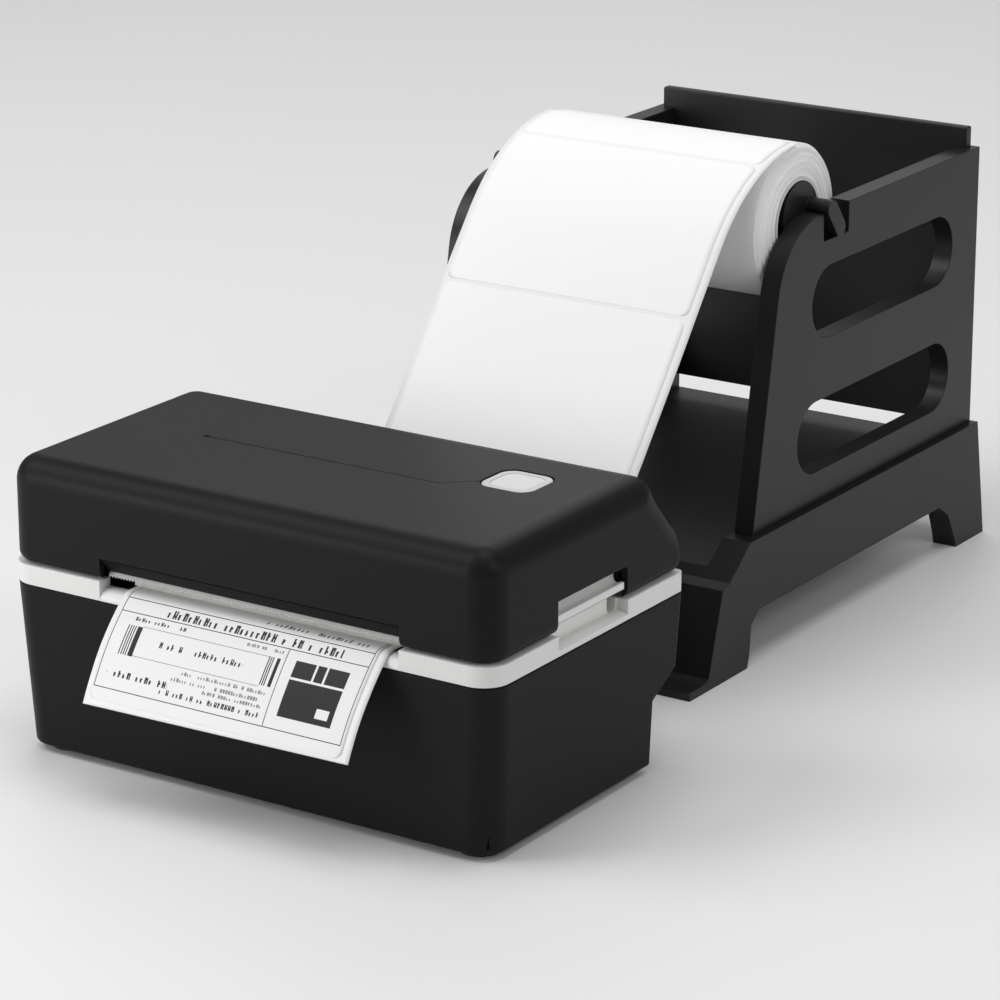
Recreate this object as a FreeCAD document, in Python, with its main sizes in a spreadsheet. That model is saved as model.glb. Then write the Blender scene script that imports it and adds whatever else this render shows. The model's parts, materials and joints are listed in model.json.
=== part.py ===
import FreeCAD, Part
import math
import os
from types import SimpleNamespace

import Sketcher
from FreeCAD import Placement, Rotation, Vector

# Desktop thermal label printer with its free-standing roll holder, in millimetres.
# +X is the printer's right, +Y runs from its front face to the back, +Z is up.
# Every piece is drawn with Y = 0 on the printer's front face and is then moved by the same
# amount, which puts the origin under the middle of the whole assembly, on the table.

doc = FreeCAD.newDocument("LabelPrinter")
sheet = doc.addObject("Spreadsheet::Sheet", "Sizes")

SIZES = [
    # printer casing
    ("body_width", 195), ("body_depth", 115.4), ("corner_front", 9.4), ("corner_back", 2.4),
    ("base_low", 2.2), ("seam_low", 60.5), ("seam_high", 67.3), ("seam_gap", 0.5),
    ("base_draft", 2.65), ("base_edge", 1.6), ("casing_wall", 5.1), ("floor_thick", 2.4),
    ("step_high", 35.4), ("step_low", 25.9), ("step_depth", 16.8), ("step_lip", 1),
    ("cover_margin", 27.3), ("cover_front", 18), ("cover_back", 82), ("cover_thick", 1.2),
    ("screw_radius", 2.6), ("screw_inset", 7), ("screw_high", 1), ("screw_sunk", 0.2),
    ("slot_half", 1.4), ("slot_wide", 0.5), ("slot_deep", 0.7), ("foot_radius", 7), ("foot_inset", 14),
    ("rim_wide", 12), ("rim_front", 5.6), ("ring_inset", 1.5),
    ("lid_inset", 0.3), ("lid_back_inset", 1), ("lid_gap", 0.4), ("lid_top", 104.5),
    ("lid_round", 9), ("lid_wall", 2.4), ("slope_deep", 16.9), ("slope_high", 18.3), ("slope_round", 11),
    ("groove_wide", 0.5), ("groove_deep", 0.3), ("groove_dot", 1.1), ("groove_bend", 11),
    ("groove_left", -53), ("groove_y", 53.4), ("groove_end_y", 62),
    ("ear_half", 2.5), ("ear_gap", 0.5), ("knuckle_wide", 4), ("knuckle_drop", 3),
    ("rib_thick", 2.4), ("rib_reach", 1.9), ("rib_inset", 1.5), ("rib_below", 3.2),
    ("rib_front_gap", 3), ("rib_back_gap", 3),
    ("hinge_inset", 3.5), ("hinge_span", 68), ("hinge_pin_radius", 1.5), ("running_gap", 0.05),
    # paper path
    ("feed_centre", 4.2), ("liner_width", 106), ("paper_thick", 0.25), ("paper_level", 64.95),
    ("mouth_width", 120), ("mouth_shift", 2.2), ("mouth_floor", 64.4), ("mouth_high", 75.1),
    ("mouth_behind", 4), ("lip_round", 3.8), ("exit_angle", 43), ("tip_angle", 65), ("label_reach", 21.7),
    ("inlet_width", 112), ("inlet_floor", 63.9), ("web_flat_inset", 1.4), ("web_angle", 51.5),
    ("web_bulge", 70),
    # tear blade and the insert behind it
    ("blade_thick", 0.5), ("blade_tooth", 0.95), ("blade_pitch", 1.2), ("blade_angle", 37),
    ("blade_y", 4.4), ("blade_z", 69.9), ("blade_reach", 1.9), ("blade_margin", 0.5),
    ("insert_play", 0.4), ("insert_sunk", 0.1), ("insert_drop", 0.25), ("insert_deep", 5.6),
    # platen, head and drive
    ("platen_radius", 7), ("platen_clear", 0.4), ("shaft_radius", 3), ("shaft_past", 2),
    ("roller_past", 1), ("bush_radius", 4.5), ("plate_thick", 2), ("plate_clear", 5), ("plate_back", 60),
    ("plate_front_gap", 0.6), ("gear_module", 0.6), ("gear_wide", 5), ("gear_gap", 1.2),
    ("gear_play", 0.07), ("platen_teeth", 20), ("idler_teeth", 36), ("pinion_teeth", 12),
    ("idler_fall", 50), ("pinion_fall", 30), ("pin_radius", 1.5), ("motor_radius", 17.5),
    ("motor_long", 24), ("motor_shaft_radius", 1), ("motor_shaft_in", 6), ("motor_window", 2.4),
    ("flange_half", 21), ("flange_high", 6), ("flange_thick", 1.5), ("head_gap", 0.04),
    ("head_high", 7.4), ("head_past", 1), ("ceramic_thick", 1.5), ("ceramic_front", 4.5),
    ("ceramic_back", 9), ("sink_front", 3.6), ("sink_back", 17), ("sink_past", 2), ("fin_pitch", 3.2),
    ("fin_gap", 1.6), ("fin_floor", 4.2), ("bridge_rise", 10), ("bridge_thick", 2), ("bridge_past", 5),
    ("bridge_front", 3), ("bridge_back", 22), ("spring_radius", 3), ("spring_wire", 0.5),
    ("spring_turns", 4), ("spring_x", 32), ("spring_forward", 0.6),
    # latches
    ("latch_front", 38.2), ("latch_back", 80), ("latch_high", 79), ("scoop_deep", 4.5),
    ("scoop_fall", 1.4), ("latch_pin_radius", 1.2), ("latch_play", 0.4), ("latch_pivot_z", 77.2),
    ("latch_pivot_in", 2.5), ("window_round", 2), ("grip_front_gap", 0.6), ("grip_back_gap", 1.2),
    ("grip_low", 71.3), ("grip_thick", 1.8), ("grip_lip", 2.4), ("grip_lip_wide", 1.2),
    ("grip_lip_slope", 0.5), ("grip_ledge", 0.8), ("grip_ledge_thick", 1.2), ("grip_root", 2.3),
    ("grip_inset", 0.9), ("grip_round", 1.6), ("arm_thick", 1.7), ("arm_low", 62), ("arm_front", 46),
    ("arm_back", 67), ("boss_half", 2.4), ("boss_above", 2.2), ("catch_thick", 2.4), ("catch_high", 1.5),
    ("catch_back", 74), ("pocket_floor", 63.5), ("pocket_round", 1.5),
    # button
    ("button_x", 61.3), ("button_y", 69.4), ("button_wide", 20), ("button_corner", 5.5),
    ("button_edge", 0.4), ("button_sunk", 0.2), ("button_play", 0.35), ("button_travel", 0.8),
    ("skirt_wide", 1.6), ("skirt_thick", 1.7), ("skirt_gap", 0.02), ("lens_wide", 15),
    ("lens_corner", 3.4), ("lens_edge", 0.3), ("lens_deep", 1.4), ("lens_sunk", 0.25),
    ("switch_drop", 7.5), ("switch_board_half", 15.3), ("switch_board_deep", 9),
    ("switch_board_thick", 1.6), ("switch_post_x", 13.7), ("contact_half", 3), ("contact_gap", 0.3),
    # media guides and the deck they slide under
    ("deck_thick", 2.5), ("deck_half", 80), ("deck_gap", 2), ("tab_front", 24), ("tab_back", 84),
    ("tab_long", 12), ("sensor_y", 44), ("sensor_half", 5), ("sensor_long", 4), ("sensor_play", 0.4),
    ("sensor_below", 3), ("guide_front", 62), ("guide_back", 98), ("guide_thick", 2),
    ("guide_travel", 6), ("guide_lift", 0.1), ("guide_head_gap", 0.5), ("rack_module", 0.8),
    ("rack_teeth", 10), ("rack_thick", 3), ("rack_play", 0.05), ("slide_gap", 0.3),
    ("guide_axis", 78), ("rack_back", 4.2), ("leg_clear", 1.8), ("stud_past", 1.5),
    # control board and rear sockets
    ("board_left", -84), ("board_right", 26), ("board_front", 64), ("board_back_gap", 0.6),
    ("board_thick", 1.6), ("board_rise", 3.4), ("board_hole", 1.6), ("post_radius", 2.6),
    ("post_inset", 4), ("post_front", 67.5), ("post_back", 91), ("socket_z", 15), ("hole_play", 0.1),
    ("jack_x", -46), ("jack_half", 4.6), ("jack_above", 5), ("jack_long", 13.5), ("jack_bore", 3.2),
    ("jack_deep", 9.5), ("jack_hole", 4.2), ("jack_pin", 0.9), ("jack_pin_long", 9),
    ("usb_x", -20), ("usb_half", 6), ("usb_high", 5.4), ("usb_long", 16), ("usb_wall", 1.7),
    ("usb_roof", 1.5), ("usb_deep", 9), ("tongue_half", 2.8), ("tongue_high", 1.5),
    ("switch_x", 42), ("switch_half", 9.3), ("switch_high", 6.3), ("switch_long", 14),
    ("switch_play", 0.2), ("bezel_wide", 1.5), ("bezel_thick", 1.4), ("bay_wall", 1.7), ("bay_roof", 1.6),
    ("bay_deep", 6.5), ("rocker_tilt", 8), ("rocker_half", 7), ("rocker_high", 4.5), ("rocker_thick", 4.2),
    ("rocker_front", 1), ("axle_radius", 1), ("axle_half", 5.5), ("axle_sunk", 1.2),
    # roll holder
    ("stand_gap", 47.6), ("holder_centre", -5.35), ("holder_half", 70.65), ("holder_deep", 225.6),
    ("wall_thick", 7.6), ("wall_setback", 54.6), ("wall_rear_inset", 1), ("wall_base", 44.6),
    ("wall_top", 154.6), ("wall_lean", 19.7), ("wall_curve", 30), ("notch_setback", 102),
    ("notch_wide", 18.8), ("notch_floor", 143.2), ("notch_fall", 1.2), ("slot_rear", 21.3),
    ("slot_high", 27.3), ("slot_upper", 106.4), ("slot_lower", 56.5), ("slot_upper_setback", 94.7),
    ("slot_lower_setback", 85.8), ("panel_thick", 3.6), ("panel_inset", 5.4), ("panel_top", 162.8),
    ("panel_rim", 3), ("panel_edge", 0.8), ("tray_high", 37), ("tray_thick", 3), ("tray_gap", 0.5),
    ("base_step", 3), ("base_flare", 4), ("toe_long", 9.5), ("toe_high", 3), ("toe_round", 4),
    ("toe_rise", 1), ("shoulder_setback", 28), ("shoulder_high", 32.6), ("shoulder_round", 4),
    ("shoulder_rise", 1.4), ("shoulder_ease", 1), ("slope_end", 6.6), ("leg_thick", 6), ("front_leg", 8),
    ("arch_setback", 42), ("arch_rear", 23.1), ("arch_high", 19), ("arch_step", 4), ("arch_lean", 3),
    ("arch_run", 9), ("arch_foot", 2), ("arch_rear_run", 12), ("arch_rear_lean", 5), ("arch_rear_foot", 1),
    ("holder_screw", 2.4), ("holder_screw_in", 5.6), ("holder_screw_front", 22), ("holder_screw_rear", 23),
    # roll and spindle
    ("roll_radius", 28.3), ("core_radius", 15), ("core_wall", 1.2), ("hub_radius", 11.8), ("hub_deep", 12),
    ("hub_forward", 10.6), ("hub_rise", 2.7), ("hub_play", 0.22), ("roll_swing", 14), ("rod_radius", 6),
    ("lug_thick", 6.6), ("lug_long", 17), ("lug_tilt", 52), ("lug_play", 0.3), ("lug_seat", 0.1),
    ("lug_past", 1.6), ("flange_gap", 0.25), ("roll_gap", 0.3),
]

for row, (alias, amount) in enumerate(SIZES, start=1):
    sheet.set("A%d" % row, alias)
    sheet.set("B%d" % row, str(amount))
    sheet.setAlias("B%d" % row, alias)
doc.recompute()


class Size:
    # A length kept twice: as the expression that binds it to the sheet, and as its value now.
    def __init__(self, text, value):
        self.text = text
        self.value = float(value)

    def __add__(self, other):
        return join(self, "+", other)

    def __radd__(self, other):
        return join(other, "+", self)

    def __sub__(self, other):
        return join(self, "-", other)

    def __rsub__(self, other):
        return join(other, "-", self)

    def __mul__(self, other):
        return join(self, "*", other)

    def __rmul__(self, other):
        return join(other, "*", self)

    def __truediv__(self, other):
        return join(self, "/", other)

    def __neg__(self):
        return join(0, "-", self)

    def __float__(self):
        return self.value


def size(amount):
    return amount if isinstance(amount, Size) else Size("(%r)" % float(amount), amount)


def join(left, sign, right):
    left, right = size(left), size(right)
    if sign == "+":
        value = left.value + right.value
    elif sign == "-":
        value = left.value - right.value
    elif sign == "*":
        value = left.value * right.value
    else:
        value = left.value / right.value
    return Size("(%s %s %s)" % (left.text, sign, right.text), value)


def wave(kind, degrees):
    # The sine or cosine of an angle in degrees, kept as an expression too.
    value = getattr(math, kind)(math.radians(float(degrees)))
    return Size("%s(%s * 1deg)" % (kind, size(degrees).text), value)


s = SimpleNamespace(**{alias: Size("Sizes." + alias, getattr(sheet, alias)) for alias, _ in SIZES})
NODES = []
BEYOND = 20       # how far a cutting tool runs past the piece it cuts
NEAR = 0.1        # how closely an edge's box must agree with a place to be picked
PAST = 1          # how far a cutting tool starts before the face it opens


# Helpers

def bind(thing, prop, amount):
    thing.setExpression(prop, size(amount).text)


def place(thing, corner):
    for axis, amount in zip("xyz", corner):
        bind(thing, "Placement.Base." + axis, amount)


def block(name, low, high):
    # A box from its lowest to its highest corner.
    box = doc.addObject("Part::Box", name)
    for prop, a, b in zip(("Length", "Width", "Height"), low, high):
        bind(box, prop, b - size(a))
    place(box, low)
    return box


TURNS = {"x": Rotation(Vector(0, 1, 0), 90), "y": Rotation(Vector(1, 0, 0), -90), "z": Rotation()}


def rod(name, axis, start, radius, length):
    # A cylinder that runs from its start along +axis.
    cylinder = doc.addObject("Part::Cylinder", name)
    cylinder.Placement = Placement(Vector(), TURNS[axis])
    bind(cylinder, "Radius", radius)
    bind(cylinder, "Height", length)
    place(cylinder, start)
    return cylinder


def fuse(name, *pieces):
    union = doc.addObject("Part::MultiFuse", name)
    union.Shapes = list(pieces)
    union.Refine = True
    return union


def cut(name, base, *tools):
    result = doc.addObject("Part::Cut", name)
    result.Base = base
    result.Tool = tools[0] if len(tools) == 1 else fuse(name + "_tools", *tools)
    return result


def group(name, *pieces):
    together = doc.addObject("Part::Compound", name)
    together.Links = list(pieces)
    return together


def edges(thing, test):
    doc.recompute()
    return [number for number, edge in enumerate(thing.Shape.Edges, start=1) if test(edge.BoundBox)]


def soften(name, base, radius, test):
    # Rounds the edges of a piece that pass the test on their bounding boxes.
    rounded = doc.addObject("Part::Fillet", name)
    rounded.Base = base
    rounded.Edges = [(number, float(radius), float(radius)) for number in edges(base, test)]
    return rounded


def drawn(name, plane, points, low, high):
    # A body padded from a polygon on one of its own origin planes, from low to high along
    # the plane's normal. Every corner of the sketch is bound to the sheet.
    body = doc.addObject("PartDesign::Body", name)
    profile = outline(body, name + "_profile", plane, points, low)
    pad = body.newObject("PartDesign::Pad", name + "_pad")
    pad.Profile = profile
    bind(pad, "Length", size(high) - low)
    return body, pad


def outline(body, name, plane, points, offset):
    sketch = body.newObject("Sketcher::SketchObject", name)
    face = [item for item in body.Origin.OriginFeatures if item.Role == plane][0]
    sketch.AttachmentSupport = [(face, "")]
    sketch.MapMode = "FlatFace"
    bind(sketch, "AttachmentOffset.Base.z", offset)
    corners = [Vector(float(a), float(b), 0) for a, b in points]
    count = len(corners)
    for i in range(count):
        sketch.addGeometry(Part.LineSegment(corners[i], corners[(i + 1) % count]), False)
    for i in range(count):
        sketch.addConstraint(Sketcher.Constraint("Coincident", i, 2, (i + 1) % count, 1))
    for i, point in enumerate(points):
        for kind, amount in zip(("DistanceX", "DistanceY"), point):
            at = sketch.addConstraint(Sketcher.Constraint(kind, -1, 1, i, 1, float(amount)))
            bind(sketch, "Constraints[%d]" % at, amount)
    return sketch


def fillet(body, name, base, radius, test):
    rounded = body.newObject("PartDesign::Fillet", name)
    rounded.Base = (base, ["Edge%d" % number for number in edges(base, test)])
    bind(rounded, "Radius", radius)
    return rounded


def pocket(body, name, profile, depth, downwards):
    hollow = body.newObject("PartDesign::Pocket", name)
    hollow.Profile = profile
    bind(hollow, "Length", depth)
    hollow.Reversed = not downwards
    return hollow


def rectangle(x_low, x_high, y_low, y_high):
    return [(x_low, y_low), (x_high, y_low), (x_high, y_high), (x_low, y_high)]


def solid(name, shape):
    feature = doc.addObject("Part::Feature", name)
    feature.Shape = shape
    return feature


stand = s.body_depth + s.stand_gap
holder_back = stand + s.holder_deep
SHIFT = (holder_back - s.label_reach) / 2


def node(label, thing):
    # Names a finished piece and moves it into the assembly's frame.
    thing.Label = label
    held = dict(thing.ExpressionEngine).get(".Placement.Base.y", "%r" % thing.Placement.Base.y)
    thing.setExpression("Placement.Base.y", "(%s) - %s" % (held, SHIFT.text))
    NODES.append(thing)
    return thing


# Places that pieces share

half = s.body_width / 2
step_face = s.body_depth - s.step_depth
well_floor = s.base_low + s.floor_thick
inner_half = half - s.casing_wall
rim_half = half - s.rim_wide
rim_back = s.body_depth - s.rim_wide
lid_low = s.seam_high + s.lid_gap
lid_back = s.body_depth - s.lid_back_inset
hinge_y = lid_back - s.hinge_inset
hinge_z = lid_low + s.hinge_inset
mouth_middle = s.feed_centre - s.mouth_shift
mouth_left = mouth_middle - s.mouth_width / 2
mouth_right = mouth_middle + s.mouth_width / 2
paper_under = s.paper_level - s.paper_thick / 2
paper_over = s.paper_level + s.paper_thick / 2
platen_z = paper_under - s.running_gap - s.platen_radius
plate_in = s.liner_width / 2 + s.plate_clear          # inner face of a side plate, from the feed centre
plate_out = plate_in + s.plate_thick
deck_top = s.inlet_floor
deck_low = deck_top - s.deck_thick
pinion_pitch = s.rack_teeth * s.rack_module / 2
leg_near = pinion_pitch + s.leg_clear                      # a guide's leg, from the pinion's axis
leg_far = pinion_pitch + s.rack_back
roof = s.lid_top - s.lid_wall
crest = lid_back - s.slope_deep                       # where the lid's top starts to slope down
platen_y = s.rim_front + s.platen_clear + s.platen_radius
web_flat_end = s.body_depth - s.web_flat_inset
latch_x = rim_half + s.latch_pivot_in
scoop_face = half - s.scoop_deep
wall_front = stand + s.wall_setback
notch_front = stand + s.notch_setback
notch_back = notch_front + s.notch_wide
slot_back = holder_back - s.slot_rear
rib_front = s.arm_front - s.rib_front_gap - s.rib_thick
rib_back = s.arm_back + s.rib_back_gap
panel_y = holder_back - s.wall_rear_inset - s.panel_inset
lug_flat = (s.lug_long - s.lug_thick) / 2             # half the straight side of a spindle lug
lug_y = notch_front + s.lug_play + s.lug_thick / 2 + lug_flat * wave("cos", s.lug_tilt)
lug_z = s.notch_floor + s.lug_seat + s.lug_thick / 2 + lug_flat * wave("sin", s.lug_tilt)
hub_y = lug_y - s.hub_forward
hub_z = lug_z + s.hub_rise
roll_hang = s.core_radius - s.hub_radius - s.hub_play
roll_y = hub_y - roll_hang * wave("sin", s.roll_swing)
roll_z = hub_z - roll_hang * wave("cos", s.roll_swing)


# Printer: fixed casing

def base_shell():
    body, pad = drawn("base_body", "XY_Plane", rectangle(-half, half, 0, s.body_depth),
                      s.seam_low - s.seam_gap, s.seam_low)
    bind(pad, "Length", s.seam_low - s.seam_gap - s.base_low)
    pad.Reversed = True
    bind(pad, "TaperAngle", -s.base_draft)
    front = fillet(body, "base_front", pad, s.corner_front,
                   lambda box: box.ZLength > 40 and box.YMax < 10)
    back = fillet(body, "base_back", front, s.corner_back,
                  lambda box: box.ZLength > 40 and box.YMin > 100)
    bottom = fillet(body, "base_bottom", back, s.base_edge,
                    lambda box: box.ZMax < float(s.base_low) + 0.1)
    top = s.seam_low - s.seam_gap
    deep = outline(body, "well_low", "XY_Plane",
                   rectangle(-inner_half, inner_half, s.casing_wall, step_face - s.lid_wall), top)
    well = pocket(body, "well_low_cut", deep, top - well_floor, True)
    shelf = s.step_high + s.floor_thick
    shallow = outline(body, "well_high", "XY_Plane",
                      rectangle(-inner_half, inner_half, s.casing_wall, s.body_depth - s.casing_wall), top)
    pocket(body, "well_high_cut", shallow, top - shelf, True)
    step = outline(body, "step", "YZ_Plane",
                   [(step_face, s.base_low - BEYOND), (s.body_depth + BEYOND, s.base_low - BEYOND),
                    (s.body_depth + BEYOND, s.step_high), (s.body_depth - s.step_lip, s.step_high),
                    (step_face, s.step_low)], 0)
    away = pocket(body, "step_cut", step, s.body_width + BEYOND, True)
    away.Midplane = True
    cover_bay = block("cover_bay", (s.cover_margin - half, s.cover_front, s.base_low - PAST),
                      (half - s.cover_margin, s.cover_back, s.base_low + s.cover_thick))
    wall_in = step_face - s.lid_wall - PAST
    jack_hole = rod("jack_hole", "y", (s.jack_x, wall_in, s.socket_z), s.jack_hole, BEYOND)
    usb_half = s.usb_half + s.hole_play
    usb_high = s.usb_high + s.hole_play * 2
    usb_hole = block("usb_hole", (s.usb_x - usb_half, wall_in, s.socket_z - usb_high),
                     (s.usb_x + usb_half, wall_in + BEYOND, s.socket_z + usb_high))
    switch_half = s.switch_half + s.switch_play
    switch_high = s.switch_high + s.switch_play
    switch_hole = block("switch_hole", (s.switch_x - switch_half, wall_in, s.socket_z - switch_high),
                        (s.switch_x + switch_half, wall_in + BEYOND, s.socket_z + switch_high))
    node("base_shell", cut("base_shell", body, cover_bay, jack_hole, usb_hole, switch_hole))


def bottom_pieces():
    wide = half - s.cover_margin - s.slide_gap
    front, back = s.cover_front + s.slide_gap, s.cover_back - s.slide_gap
    plate = block("cover_plate", (-wide, front, s.base_low), (wide, back, s.base_low + s.cover_thick))
    rows = (front + s.screw_inset, back - s.screw_inset)
    spots = [(side * (wide - s.screw_inset), y) for side in (-1, 1) for y in rows]
    holes = [rod("cover_hole_%d" % i, "z", (x, y, s.base_low - PAST), s.screw_radius + s.slide_gap, BEYOND)
             for i, (x, y) in enumerate(spots)]
    node("bottom_cover", cut("bottom_cover", plate, *holes))
    heads = []
    for i, (x, y) in enumerate(spots):
        head = rod("cover_screw_head_%d" % i, "z", (x, y, s.base_low + s.screw_sunk), s.screw_radius,
                   s.screw_high)
        slot = block("cover_screw_slot_%d" % i, (x - s.slot_half, y - s.slot_wide / 2, s.base_low),
                     (x + s.slot_half, y + s.slot_wide / 2, s.base_low + s.slot_deep))
        heads.append(cut("cover_screw_%d" % i, head, slot))
    node("cover_screws", group("cover_screws", *heads))
    feet = []
    for side in (-1, 1):
        for y in (s.foot_inset, step_face - s.foot_inset):
            feet.append(rod("foot_%d" % len(feet), "z", (side * (half - s.foot_inset), y, 0), s.foot_radius,
                            s.base_low))
    node("rubber_feet", group("rubber_feet", *feet))


def mid_frame():
    body, pad = drawn("band_body", "XY_Plane", rectangle(-half, half, 0, s.body_depth), s.seam_low,
                      s.seam_high)
    front = fillet(body, "band_front", pad, s.corner_front, lambda box: box.ZLength > 5 and box.YMax < 1)
    fillet(body, "band_back", front, s.corner_back, lambda box: box.ZLength > 5 and box.YMin > 110)
    opening = block("band_opening", (-rim_half, s.rim_front, s.seam_low - PAST),
                    (rim_half, rim_back, s.seam_high + PAST))
    mouth = block("band_mouth", (mouth_left, -BEYOND, s.mouth_floor),
                  (mouth_right, s.rim_front + PAST, s.seam_high + PAST))
    inlet = block("band_inlet", (s.feed_centre - s.inlet_width / 2, rim_back - PAST, s.inlet_floor),
                  (s.feed_centre + s.inlet_width / 2, s.body_depth + BEYOND, s.seam_high + PAST))
    tools = [opening, mouth, inlet]
    catches = []
    for side, name in ((-1, "left"), (1, "right")):
        scoop, _ = drawn("scoop_" + name, "XZ_Plane",
                         [(side * scoop_face, s.seam_high + BEYOND), (side * scoop_face, s.pocket_floor),
                          (side * (half + PAST), s.pocket_floor - s.scoop_fall),
                          (side * (half + PAST), s.seam_high + BEYOND)],
                         -s.latch_back, -s.latch_front)
        x_low, x_high = sorted((side * (rim_half - 1), side * (scoop_face + NEAR)), key=float)
        pocket_box = block("pocket_" + name, (x_low, s.catch_back, s.pocket_floor),
                           (x_high, s.latch_back - s.grip_front_gap, s.seam_high + BEYOND))
        rounded = soften("pocket_round_" + name, pocket_box, s.pocket_round,
                         lambda box: box.XLength > 1 and box.ZMax < float(s.pocket_floor) + NEAR)
        tools += [scoop, rounded]
        x_low, x_high = sorted((side * (scoop_face - s.catch_thick), side * scoop_face), key=float)
        catches.append(block("catch_" + name, (x_low, s.latch_front + s.latch_play, s.seam_high),
                             (x_high, s.catch_back, s.seam_high + s.catch_high)))
    ring = block("seam_ring_out", (-half + s.ring_inset, s.ring_inset, s.seam_low - s.seam_gap),
                 (half - s.ring_inset, s.body_depth - s.ring_inset, s.seam_low))
    ring = soften("seam_ring_round", ring, s.corner_front - s.ring_inset,
                  lambda box: box.ZLength > 0.4 and box.XLength < 0.1 and box.YMax < 10)
    ring_hole = block("seam_ring_in", (-inner_half, s.casing_wall, s.seam_low - 1),
                      (inner_half, s.body_depth - s.casing_wall, s.seam_low + 1))
    ears = []
    for side in (-1, 1):
        radius = s.hinge_inset - s.lid_gap
        left = side * s.hinge_span - s.ear_half
        ears.append(rod("ear_disc_%d" % side, "x", (left, hinge_y, hinge_z), radius, s.ear_half * 2))
        ears.append(block("ear_stem_%d" % side, (left, hinge_y - radius, s.seam_high - 1),
                          (left + s.ear_half * 2, hinge_y + radius, hinge_z)))
        tools.append(rod("ear_bore_%d" % side, "x", (side * s.hinge_span - 5, hinge_y, hinge_z),
                         s.hinge_pin_radius + s.running_gap, 10))
    whole = fuse("band_whole", body, cut("seam_ring", ring, ring_hole), *catches, *ears)
    notched = cut("band_cut", whole, *tools)
    lip = soften("band_lip", notched, s.lip_round,
                 lambda box: abs(box.ZMin - float(s.mouth_floor)) < NEAR and box.YMax < NEAR
                 and box.XLength > float(s.mouth_width) / 2)
    node("mid_frame", lip)


def deck_plate():
    plate = block("deck_flat", (-s.deck_half, platen_y + s.platen_radius + s.deck_gap, deck_low),
                  (s.deck_half, rim_back, deck_top))
    tabs = [block("deck_tab_%d" % i, (-rim_half, low, deck_low), (rim_half, low + s.tab_long, deck_top))
            for i, low in enumerate((s.tab_front, s.tab_back))]
    tools = [block("sensor_window",
                   (s.feed_centre - s.sensor_half, s.sensor_y - s.sensor_long, deck_low - PAST),
                   (s.feed_centre + s.sensor_half, s.sensor_y + s.sensor_long, deck_top + PAST))]
    for way in (-1, 1):
        near = s.feed_centre + way * (s.liner_width / 2)
        far = near + way * (s.guide_travel + s.guide_thick + 2 * s.slide_gap)
        x_low, x_high = sorted((near, far), key=float)
        y_low, y_high = sorted((s.guide_axis - way * (leg_near - s.slide_gap),
                                s.guide_axis - way * (leg_far + s.slide_gap)),
                               key=float)
        tools.append(block("leg_slot_%d" % way, (x_low, y_low, deck_low - PAST),
                           (x_high, y_high, deck_top + PAST)))
    node("deck_plate", cut("deck_plate", fuse("deck_solid", plate, *tabs), *tools))
    across = s.sensor_half - s.sensor_play
    along = s.sensor_long - s.sensor_play
    node("gap_sensor", block("gap_sensor",
                             (s.feed_centre - across, s.sensor_y - along, deck_low - s.sensor_below),
                             (s.feed_centre + across, s.sensor_y + along, deck_top)))


# Gears

PRESSURE = 20     # the teeth's pressure angle, in degrees
ADDENDUM = 0.9    # a tooth's height over the pitch circle, in modules
DEDENDUM = 1.2    # the depth of the gap under it
STEPS = 5         # straight pieces along one flank


def gear_points(teeth, module, turn, play):
    # Involute tooth outline: each flank is the unwound base circle, from root to tip.
    pitch = teeth * module / 2
    pressure = math.radians(PRESSURE)
    base = pitch * math.cos(pressure)
    tip = pitch + ADDENDUM * module
    root = pitch - DEDENDUM * module
    spread = math.tan(pressure) - pressure
    thick = math.pi / (2 * teeth) - play / (2 * pitch)
    flank = []
    for i in range(STEPS + 1):
        radius = max(base, root) + (tip - max(base, root)) * i / STEPS
        lean = math.acos(min(1, base / radius))
        flank.append((radius, thick + spread - (math.tan(lean) - lean)))
    rising = [(root, -flank[0][1])] + [(radius, -turned) for radius, turned in flank]
    falling = [(radius, turned) for radius, turned in flank[::-1]] + [(root, flank[0][1])]
    points = []
    for tooth in range(teeth):
        middle = turn + 2 * math.pi * tooth / teeth
        points += [(r * math.cos(middle + a), r * math.sin(middle + a)) for r, a in rising + falling]
    return points


def prism_x(points, x_low, x_high, holes=()):
    # A closed outline of (y, z) points, carried along X, with round holes of (y, z, radius).
    ring = [Vector(x_low, y, z) for y, z in points]
    face = Part.Face(Part.makePolygon(ring + ring[:1]))
    body = face.extrude(Vector(x_high - x_low, 0, 0))
    for y, z, radius in holes:
        body = body.cut(Part.makeCylinder(radius, x_high - x_low + 2, Vector(x_low - 1, y, z),
                                          Vector(1, 0, 0)))
    return body


def gear(name, at, teeth, turn, bore, x_low, x_high):
    points = [(at[0] + a, at[1] + b) for a, b in
              gear_points(teeth, float(s.gear_module), turn, float(s.gear_play))]
    node(name, solid(name, prism_x(points, x_low, x_high, [(at[0], at[1], bore)])))


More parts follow.
